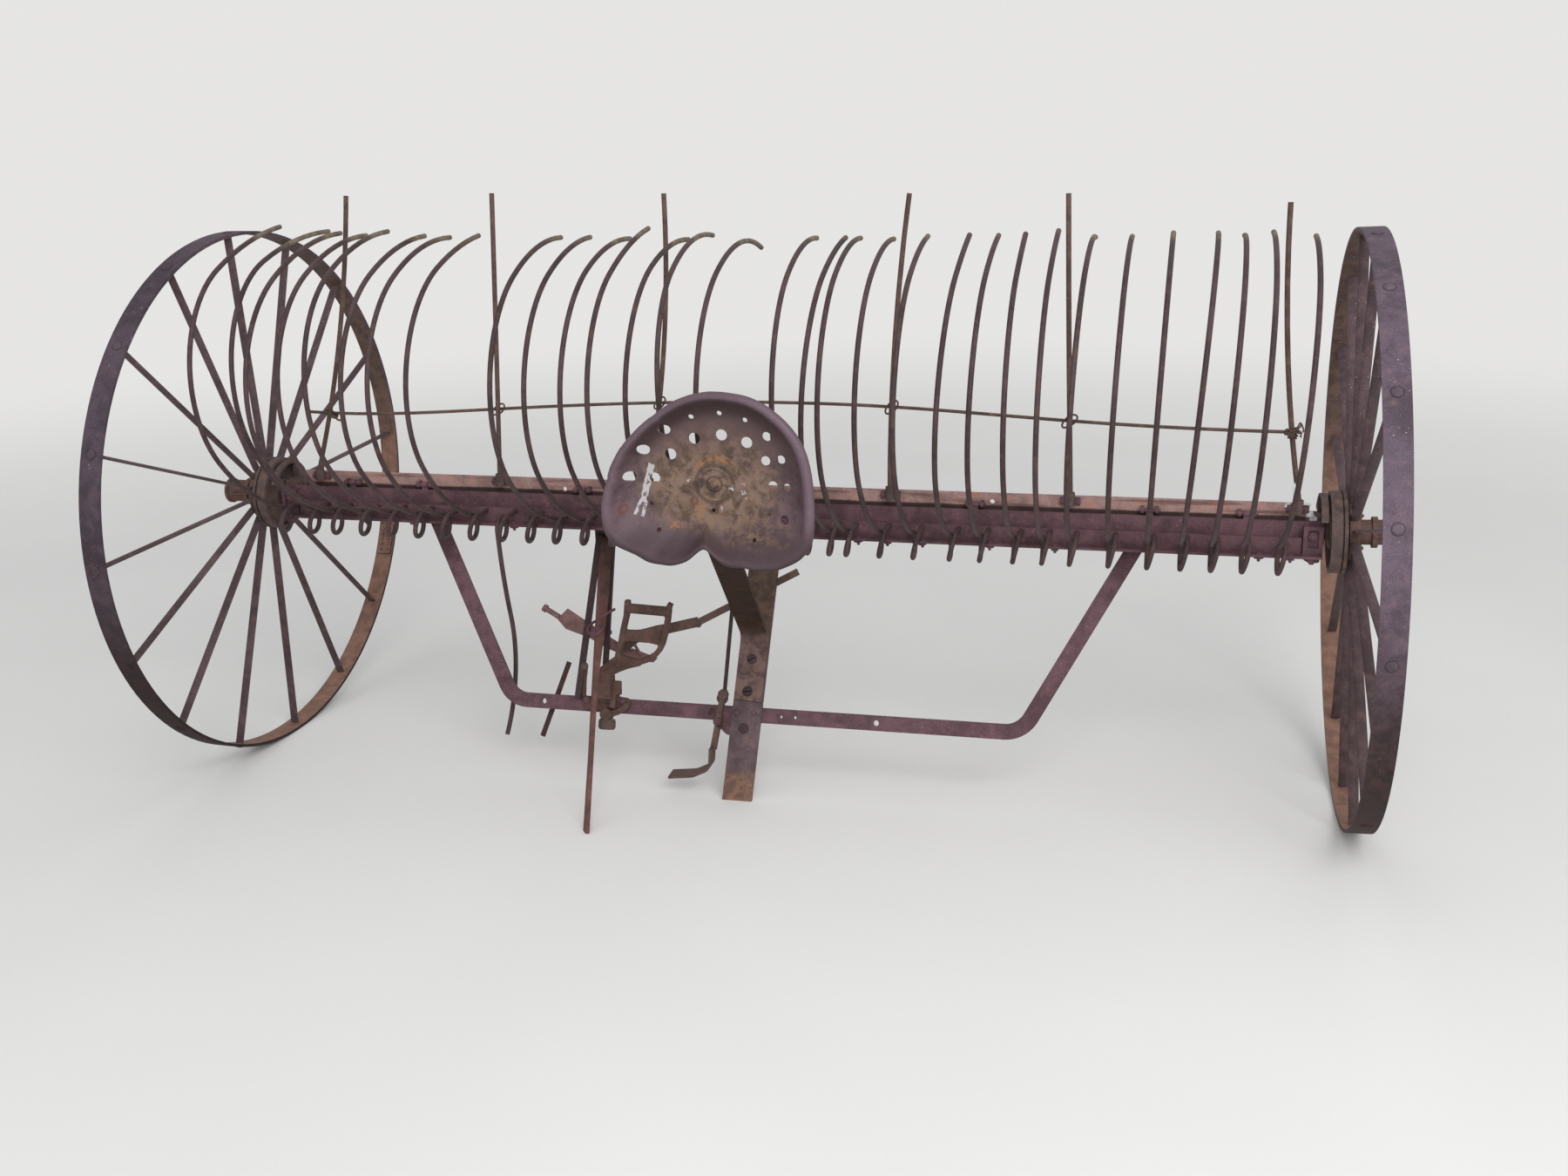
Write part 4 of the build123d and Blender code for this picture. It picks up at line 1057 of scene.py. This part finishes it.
class RAKE_OT_prop(bpy.types.Operator):
    """Makes the angle-iron prop, with the wire ring round it and its hook"""

    bl_idname = "rake.prop"
    bl_label = "Make Prop"

    def execute(self, context):
        down = (PROP_FOOT - PROP_TOP).normalized()
        right = Vector((1, 0, 0))
        right = (right - down * right.dot(down)).normalized()
        back = right.cross(down)
        back = back if back.y > 0 else -back
        to_left = back * math.sin(PROP_TURN) - right * math.cos(PROP_TURN)
        to_right = back * math.cos(PROP_TURN) + right * math.sin(PROP_TURN)
        shape = bmesh.new()
        rings = []
        for share, wide in PROP_RIGHT_LEG:
            ridge = spot(*PROP_TOP.lerp(PROP_FOOT, share))
            if share == 1.0:
                ridge += UP * MM
            section = [
                to_left * PROP_LEG, Vector((0, 0, 0)), to_right * wide, to_right * wide + to_left * PROP_THICK,
                (to_left + to_right) * PROP_THICK, to_left * PROP_LEG + to_right * PROP_THICK,
            ]
            corners = [ridge + corner * MM for corner in section]
            rings.append([shape.verts.new((at.x, at.y, max(at.z, 0.0))) for at in corners])
        skin_rings(shape, rings)
        prop = new_piece("prop_angle", shape, "prop", 30.0, 0.8)
        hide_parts("prop_lever")
        settle(prop)
        centre = spot(*PROP_TOP.lerp(PROP_FOOT, RING_SHARE)) + RING_SHIFT * MM
        side = Vector((1, 0, 0.12)).normalized()
        deep = Vector((0, 0.86, 0.5)).normalized()
        shape = bmesh.new()
        turns = [2 * math.pi * step / 28 for step in range(28)]
        ring = [centre + (side * (math.cos(a) * RING_WIDE) + deep * (math.sin(a) * RING_DEEP)) * MM for a in turns]
        add_tube(shape, ring, WIRE_R * MM, 10, closed=True)
        hook = smooth_run([centre + Vector(step) * MM for step in HOOK], 5)
        add_tube(shape, hook, WIRE_R * MM, 10)
        new_piece("prop_wire", shape, "frame")
        return {"FINISHED"}


# The foot pedal, as x and height: two arms, a web between them, a bar on top and a neck to its foot.
PEDAL_LEFT_ARM = [(-316, -194), (-320, -231), (-330, -267), (-337, -297), (-344, -322), (-350, -343)]
PEDAL_RIGHT_ARM = [
    (-205, -197), (-210, -207), (-214, -238), (-221, -270), (-231, -303), (-240, -320), (-252, -334), (-271, -346),
    (-296, -356), (-325, -366), (-348, -376), (-367, -387),
]
PEDAL_WEB = [
    (-326, -271), (-309, -271), (-289, -270), (-269, -264), (-244, -256), (-217, -250), (-237, -302), (-261, -297),
    (-286, -296), (-310, -295), (-337, -295),
]
PEDAL_WEB_EDGE = [(-336, -296), (-310, -296), (-286, -297), (-261, -298), (-236, -303)]
PEDAL_NECK = [
    (-339, -339), (-350, -338), (-363, -348), (-381, -361), (-398, -375), (-405, -389), (-410, -415), (-413, -446),
    (-381, -446), (-379, -425), (-372, -405), (-366, -393), (-353, -386), (-325, -374), (-289, -363), (-289, -350),
    (-320, -345),
]
PEDAL_FOOT = [(-413, -400), (-372, -400), (-372, -458), (-413, -458)]
# Outlines with their front and back, and lines with their half width, front and back.
PEDAL_PLATES = [(PEDAL_WEB, -186.0, -178.0), (PEDAL_NECK, -190.0, -174.0), (PEDAL_FOOT, -194.0, -150.0)]
PEDAL_BANDS = [
    (PEDAL_LEFT_ARM, 6.8, -191.0, -173.0), (PEDAL_RIGHT_ARM, 6.8, -191.0, -173.0),
    (PEDAL_WEB_EDGE, 4.2, -189.0, -175.0),
]
PEDAL_RIDGE = [(-383, -385), (-372, -374), (-351, -365), (-329, -361), (-304, -360), (-289, -357)]

# The clamp on the draft bar, as x and place along the frame, with how far out each form starts and ends.
CLAMP_PLATES = [
    ([(-455, -488), (-391, -486), (-371, -484), (-338, -487), (-330, -501), (-341, -516), (-363, -525), (-453, -523)],
     5.5, 17.0),
    ([(-381, -444), (-365, -444), (-363, -515), (-379, -515)], 33.0, 40.0),
    ([(-373, -444), (-360, -445), (-357, -479), (-370, -482)], 5.5, 34.0),
    ([(-418, -458), (-364, -458), (-364, -500), (-418, -500)], 5.5, 34.0),
]
CLAMP_ARM = [(-378, -529), (-362, -524), (-347, -515), (-333, -503)]
CLAMP_STEM = [(-461, -408), (-462, -450), (-461, -490)]
CLAMP_EYE, CLAMP_NUT, CLAMP_KNOB = (-388.0, -531.0), (-388.0, -543.0), (-460.0, -413.0)
CAST_GRAIN = 1.8


def standing(x, h, y):
    return spot(x, y, h)


def cast_piece(name, shape, node):
    """Melts a piece's parts into one casting with rounded edges, in the place of a node."""
    piece = new_piece(name, shape, "pedal")
    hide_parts(node)
    melt = piece.modifiers.new("melt", "REMESH")
    melt.mode = "VOXEL"
    melt.voxel_size = CAST_GRAIN * MM
    melt.use_smooth_shade = True
    smooth = piece.modifiers.new("smooth", "SMOOTH")
    smooth.factor = 0.5
    smooth.iterations = 4
    settle(piece)


class RAKE_OT_pedal(bpy.types.Operator):
    """Makes the cast foot pedal and the cast clamp that holds it on the draft bar"""

    bl_idname = "rake.pedal"
    bl_label = "Make Pedal"

    def execute(self, context):
        shape = bmesh.new()
        for line, half, near, far in PEDAL_BANDS:
            add_band(shape, line, half, standing, near, far)
        for outline, near, far in PEDAL_PLATES:
            add_plate(shape, outline, standing, near, far)
        add_tube(shape, [spot(-318, -184, -214), spot(-205, -184, -218)], 12.6 * MM, 20)
        add_tube(shape, [spot(x, -191, h) for x, h in PEDAL_RIDGE], 4.2 * MM, 10)
        cast_piece("pedal_casting", shape, "foot_pedal")
        shape = bmesh.new()
        for outline, near, far in CLAMP_PLATES:
            add_plate(shape, outline, on_draft, near, far)
        add_band(shape, CLAMP_ARM, 7.5, on_draft, 14.0, 31.0)
        add_band(shape, CLAMP_STEM, 8.0, on_draft, 5.5, 17.0)
        add_lathe(shape, on_draft(*CLAMP_EYE, 12.0), DRAFT_OUT, [(15.5, 0), (15.5, 28)], 28)
        cast_piece("clamp_casting", shape, "pedal_bracket")
        shape = bmesh.new()
        down = on_draft(0, -1, 0) - on_draft(0, 0, 0)
        add_nut(shape, on_draft(*CLAMP_NUT, 20.0), down, 19.0, 27.0, 6, 0.3)
        add_head(shape, on_draft(*CLAMP_KNOB, 16.0), DRAFT_OUT, 10.5, 6.0)
        add_head(shape, on_draft(-91.0, -472.0, 12.0), DRAFT_OUT, 15.0, 4.0)
        new_piece("clamp_nut", shape, "casting")
        shape = bmesh.new()
        # Painted shade: a dark disc on the clamp's eye stands for the shade in its hole.
        add_lathe(shape, on_draft(*CLAMP_EYE, 39.0), DRAFT_OUT, [(4.5, 0), (4.5, 0.9)], 18)
        new_piece("clamp_eye", shape, "dark")
        shape = bmesh.new()
        add_washer(shape, on_draft(-86.0, -536.0, 35.0), DRAFT_OUT, 5.0, 9.5, 2.0)
        add_band(shape, [(-116, -498), (-123, -514)], 4.0, on_draft, 5.5, 12.0)
        new_piece("lever_washer", shape, "beam")
        return {"FINISHED"}


# The air holes: across, height and radius.
SEAT_HOLES = [
    (-97, 307, 12.5), (-35, 285, 12.5), (26, 294, 12.5), (82, 279, 12.5), (129, 295, 10.5), (-146, 261, 12.5),
    (-90, 249, 12.5), (123, 240, 10.5), (159, 245, 9.5), (-180, 200, 12.5), (-128, 195, 11.5), (138, 185, 10.5),
    (171, 184, 8.5), (166, 114, 10.0), (-37, 335, 5.5), (26, 344, 5.5), (82, 330, 5.5), (-137, 138, 5.0),
    (-119, 81, 5.5), (2, 125, 4.0), (97, 66, 5.0), (129, 122, 3.0),
]
# Share of the outline's reach, depth behind the rim's crest, and that depth along the seat's lower edge
SEAT_PROFILE = [
    (1.0, 16.0, 20.0), (1.003, 10.0, 13.0), (0.996, 4.5, 6.5), (0.982, 1.2, 2.5), (0.965, 0.0, 0.5),
    (0.948, 1.2, 0.5), (0.932, 4.5, 2.0), (0.915, 10.0, 4.5), (0.89, 20.0, 9.0), (0.86, 29.5, 15.0),
    (0.825, 38.5, 22.0), (0.785, 46.0, 29.5), (0.74, 51.5, 37.0), (0.68, 55.0, 45.0), (0.6, 57.5, 52.0),
    (0.5, 59.0, 57.0), (0.4, 60.5, 60.0), (0.3, 62.0, 62.0), (0.2, 63.0, 63.0), (0.13, 63.5, 63.5), (0.06, 64.0, 64.0),
]
SEAT_STEPS = 168
# The rings go over to an oval of these half sizes towards the middle.
SEAT_ROUND = (225, 185)
# The pressed ring round the bolt, as radius and height.
SEAT_BOSS = [(30, 0.0), (40, 0.0), (38, 2.2), (35, 3.0), (32, 2.2)]


def seat_reach():
    """The seat outline's reach from its middle, round the clock, from the node's rim."""
    points = [v.co / MM for v in frame["nodes"]["seat"].data.vertices]
    rim_y = min(p.y for p in points)
    found = []
    for p in points:
        across, rise = p.x - SEAT_X, p.z - WHEEL_R - SEAT_H
        if p.y < rim_y + 0.6:
            found.append((math.atan2(rise, across), math.hypot(across, rise)))
    reach = []
    for step in range(SEAT_STEPS):
        angle = 2 * math.pi * step / SEAT_STEPS
        near = []
        window = 0.03
        while len(near) < 2:
            near = [r for a, r in found if abs((a - angle + math.pi) % (2 * math.pi) - math.pi) < window]
            window += 0.02
        reach.append(max(near))
    return [(reach[k - 1] + reach[k] + reach[(k + 1) % SEAT_STEPS]) / 3 for k in range(SEAT_STEPS)], rim_y


class RAKE_OT_seat(bpy.types.Operator):
    """Makes the pressed seat with its rolled rim and air holes, and its bolt"""

    bl_idname = "rake.seat"
    bl_label = "Make Seat"

    def execute(self, context):
        sizes = context.scene.rake_sizes
        reach, rim_y = seat_reach()
        shape = bmesh.new()
        rings = []
        for share, upper, lower in SEAT_PROFILE:
            ring = []
            for step in range(SEAT_STEPS):
                angle = 2 * math.pi * step / SEAT_STEPS
                round_reach = 1 / math.hypot(math.cos(angle) / SEAT_ROUND[0], math.sin(angle) / SEAT_ROUND[1])
                blend = min(1.0, max(0.0, (0.9 - share) / 0.7))
                far = (reach[step] * (1 - blend) + round_reach * blend) * share
                x, h = SEAT_X + far * math.cos(angle), SEAT_H + far * math.sin(angle)
                low = min(1.0, max(0.0, (-0.15 - math.sin(angle)) / 0.45))
                low = low * low * (3 - 2 * low)
                ring.append(shape.verts.new(spot(x, rim_y + upper * (1 - low) + lower * low, h)))
            rings.append(ring)
        middle = shape.verts.new(spot(SEAT_X, rim_y + SEAT_PROFILE[-1][1], SEAT_H))
        for low, high in zip(rings, rings[1:] + [[middle]]):
            bridge(shape, low, high)
        pan = new_piece("seat_pan", shape, "seat", 60.0)
        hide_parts("seat")
        wall = pan.modifiers.new("wall", "SOLIDIFY")
        wall.thickness = sizes.seat_wall
        wall.offset = 0.0
        holes = bmesh.new()
        for x, h, radius in SEAT_HOLES:
            base = spot(SEAT_X + x, rim_y - 20, h)
            add_lathe(holes, base, Vector((0, 1, 0)), [(radius, 0), (radius, 120)], 28)
        bmesh.ops.recalc_face_normals(holes, faces=holes.faces[:])
        cutter = make_object("hole_cutter", holes)
        cut = pan.modifiers.new("holes", "BOOLEAN")
        cut.object = cutter
        cut.operation = "DIFFERENCE"
        cut.solver = "EXACT"
        settle(pan)
        bpy.data.objects.remove(cutter)
        pan.data.set_sharp_from_angle(angle=math.radians(50))
        shape = bmesh.new()
        bolt_x, bolt_h = SEAT_BOLT
        floor_y = rim_y + SEAT_PROFILE[-1][1] - 1.5
        base = spot(SEAT_X + bolt_x, floor_y, bolt_h)
        add_lathe_ring(shape, base, FRONT, SEAT_BOSS, 48)
        add_head(shape, base, FRONT, 17.0, 4.0)
        add_head(shape, base + FRONT * 0.0035, FRONT, 9.0, 4.5)
        new_piece("seat_bolt", shape, "seat")
        return {"FINISHED"}


# Marks that birds left on the beam beside the right rod: x, height, reach across and up.
BEAM_MARKS = [(1240.0, 59.0, 9.0, 5.0), (1275.0, 60.0, 16.0, 8.0), (1290.0, 40.0, 8.0, 10.0), (1299.0, 30.0, 9.0, 6.0)]
# The streak on the rod and the clod in the head's corner: middle, and half sizes.
ROD_MARK = ((1250.0, -24.4, 100.0), (4.0, 2.2, 18.0))
DIRT_CLOD = ((1314.0, -24.0, -27.0), (9.0, 4.0, 7.0))


def add_blob(shape, middle, halves, draw):
    """A small uneven lump."""
    made = bmesh.ops.create_icosphere(shape, subdivisions=3, radius=1.0)
    phase = [draw.uniform(0, 6.28) for _ in range(6)]
    for vert in made["verts"]:
        x, y, z = vert.co
        lump = 1 + 0.16 * math.sin(3 * x + phase[0]) + 0.14 * math.sin(4 * z + phase[1])
        lump += 0.08 * math.sin(7 * x + phase[2]) * math.sin(6 * z + phase[3])
        vert.co = spot(*middle) + Vector((x * halves[0], y * halves[1], z * halves[2])) * (lump * MM)


class RAKE_OT_marks(bpy.types.Operator):
    """Adds the dried droppings on the beam and the rod at the right"""

    bl_idname = "rake.marks"
    bl_label = "Add Droppings"

    def execute(self, context):
        draw = random.Random(3)
        shape = bmesh.new()
        for x, h, wide, tall in BEAM_MARKS:
            add_blob(shape, (x, BEAM_FACE_Y, h), (wide, 2.5, tall), draw)
        add_blob(shape, *ROD_MARK, draw)
        new_piece("beam_droppings", shape, "white", 80.0)
        shape = bmesh.new()
        add_blob(shape, *DIRT_CLOD, draw)
        new_piece("corner_dirt", shape, "dirt", 80.0, body="rake_head")
        return {"FINISHED"}


# The stage, in metres.
SKY_COLOUR = (0.96, 0.98, 1.0, 1.0)
FLOOR_HALF = 40.0
LAMP_SIZE, LAMP_PLACE, LAMP_AIM = (5.0, 4.0), Vector((2.6, -5.0, 4.2)), Vector((0, 0, 0.6))


class RAKE_OT_stage(bpy.types.Operator):
    """Sets the pale floor, the soft light and the camera"""

    bl_idname = "rake.stage"
    bl_label = "Set Stage"

    def execute(self, context):
        scene = context.scene
        stage = scene.rake_stage
        colours = scene.rake_colours
        shape = bmesh.new()
        bmesh.ops.create_grid(shape, x_segments=8, y_segments=8, size=FLOOR_HALF)
        floor = make_object("floor", shape)
        floor.data.materials.append(finish_named("floor"))
        sky = Paint("soft_sky", sky=True)
        light = sky.node("ShaderNodeBackground", None, {"Color": SKY_COLOUR, "Strength": stage.sky})
        behind = sky.node("ShaderNodeBackground", None, {"Color": rgba(colours.backdrop), "Strength": 1.0})
        sky.close(sky.node("ShaderNodeMixShader", None, {0: sky.seen(), 1: light, 2: behind}))
        scene.world = sky.material
        lamp = bpy.data.lights.new("broad_lamp", "AREA")
        lamp.shape = "RECTANGLE"
        lamp.size, lamp.size_y = LAMP_SIZE
        lamp.energy = stage.lamp
        holder = bpy.data.objects.new("broad_lamp", lamp)
        holder.location = LAMP_PLACE
        holder.rotation_euler = (LAMP_AIM - holder.location).to_track_quat("-Z", "Y").to_euler()
        scene.collection.objects.link(holder)
        turn, dip, roll = -stage.turn, stage.dip, stage.roll
        ahead = Vector((math.sin(turn) * math.cos(dip), math.cos(turn) * math.cos(dip), -math.sin(dip)))
        level = Vector((math.cos(turn), -math.sin(turn), 0))
        lift = level.cross(ahead)
        right = level * math.cos(roll) + lift * math.sin(roll)
        above = lift * math.cos(roll) - level * math.sin(roll)
        camera = bpy.data.cameras.new("camera")
        camera.lens = stage.lens
        camera.sensor_width = 36.0
        camera.sensor_fit = "HORIZONTAL"
        eye = bpy.data.objects.new("camera", camera)
        turned = Matrix((right, above, -ahead)).transposed()
        eye.matrix_world = Matrix.Translation(Vector(stage.place)) @ turned.to_4x4()
        scene.collection.objects.link(eye)
        scene.camera = eye
        scene.view_settings.view_transform = "Standard"
        return {"FINISHED"}


class RAKE_PT_panel(bpy.types.Panel):
    """Lists the rake's steps and settings"""

    bl_idname = "RAKE_PT_panel"
    bl_label = "Hay Rake"
    bl_space_type = "VIEW_3D"
    bl_region_type = "UI"
    bl_category = "Hay Rake"

    def draw(self, context):
        for step in STEPS:
            self.layout.operator(step.bl_idname)
        for group in (context.scene.rake_colours, context.scene.rake_sizes, context.scene.rake_stage):
            box = self.layout.box()
            for name in group.bl_rna.properties.keys():
                if name not in ("rna_type", "name"):
                    box.prop(group, name)


STEPS = [
    RAKE_OT_stage,
    RAKE_OT_paint,
    RAKE_OT_wheels,
    RAKE_OT_beam,
    RAKE_OT_head,
    RAKE_OT_draft,
    RAKE_OT_prop,
    RAKE_OT_pedal,
    RAKE_OT_seat,
    RAKE_OT_marks,
]
GROUPS = {"rake_colours": RakeColours, "rake_sizes": RakeSizes, "rake_stage": RakeStage}


def register():
    for name, group in GROUPS.items():
        bpy.utils.register_class(group)
        setattr(bpy.types.Scene, name, bpy.props.PointerProperty(type=group))
    for step in STEPS:
        bpy.utils.register_class(step)
    bpy.utils.register_class(RAKE_PT_panel)


def unregister():
    bpy.utils.unregister_class(RAKE_PT_panel)
    for step in reversed(STEPS):
        bpy.utils.unregister_class(step)
    for name, group in GROUPS.items():
        delattr(bpy.types.Scene, name)
        bpy.utils.unregister_class(group)


def main():
    register()
    for step in STEPS:
        group, name = step.bl_idname.split(".")
        getattr(getattr(bpy.ops, group), name)()
    bpy.context.view_layer.update()


if __name__ == "__main__":
    main()
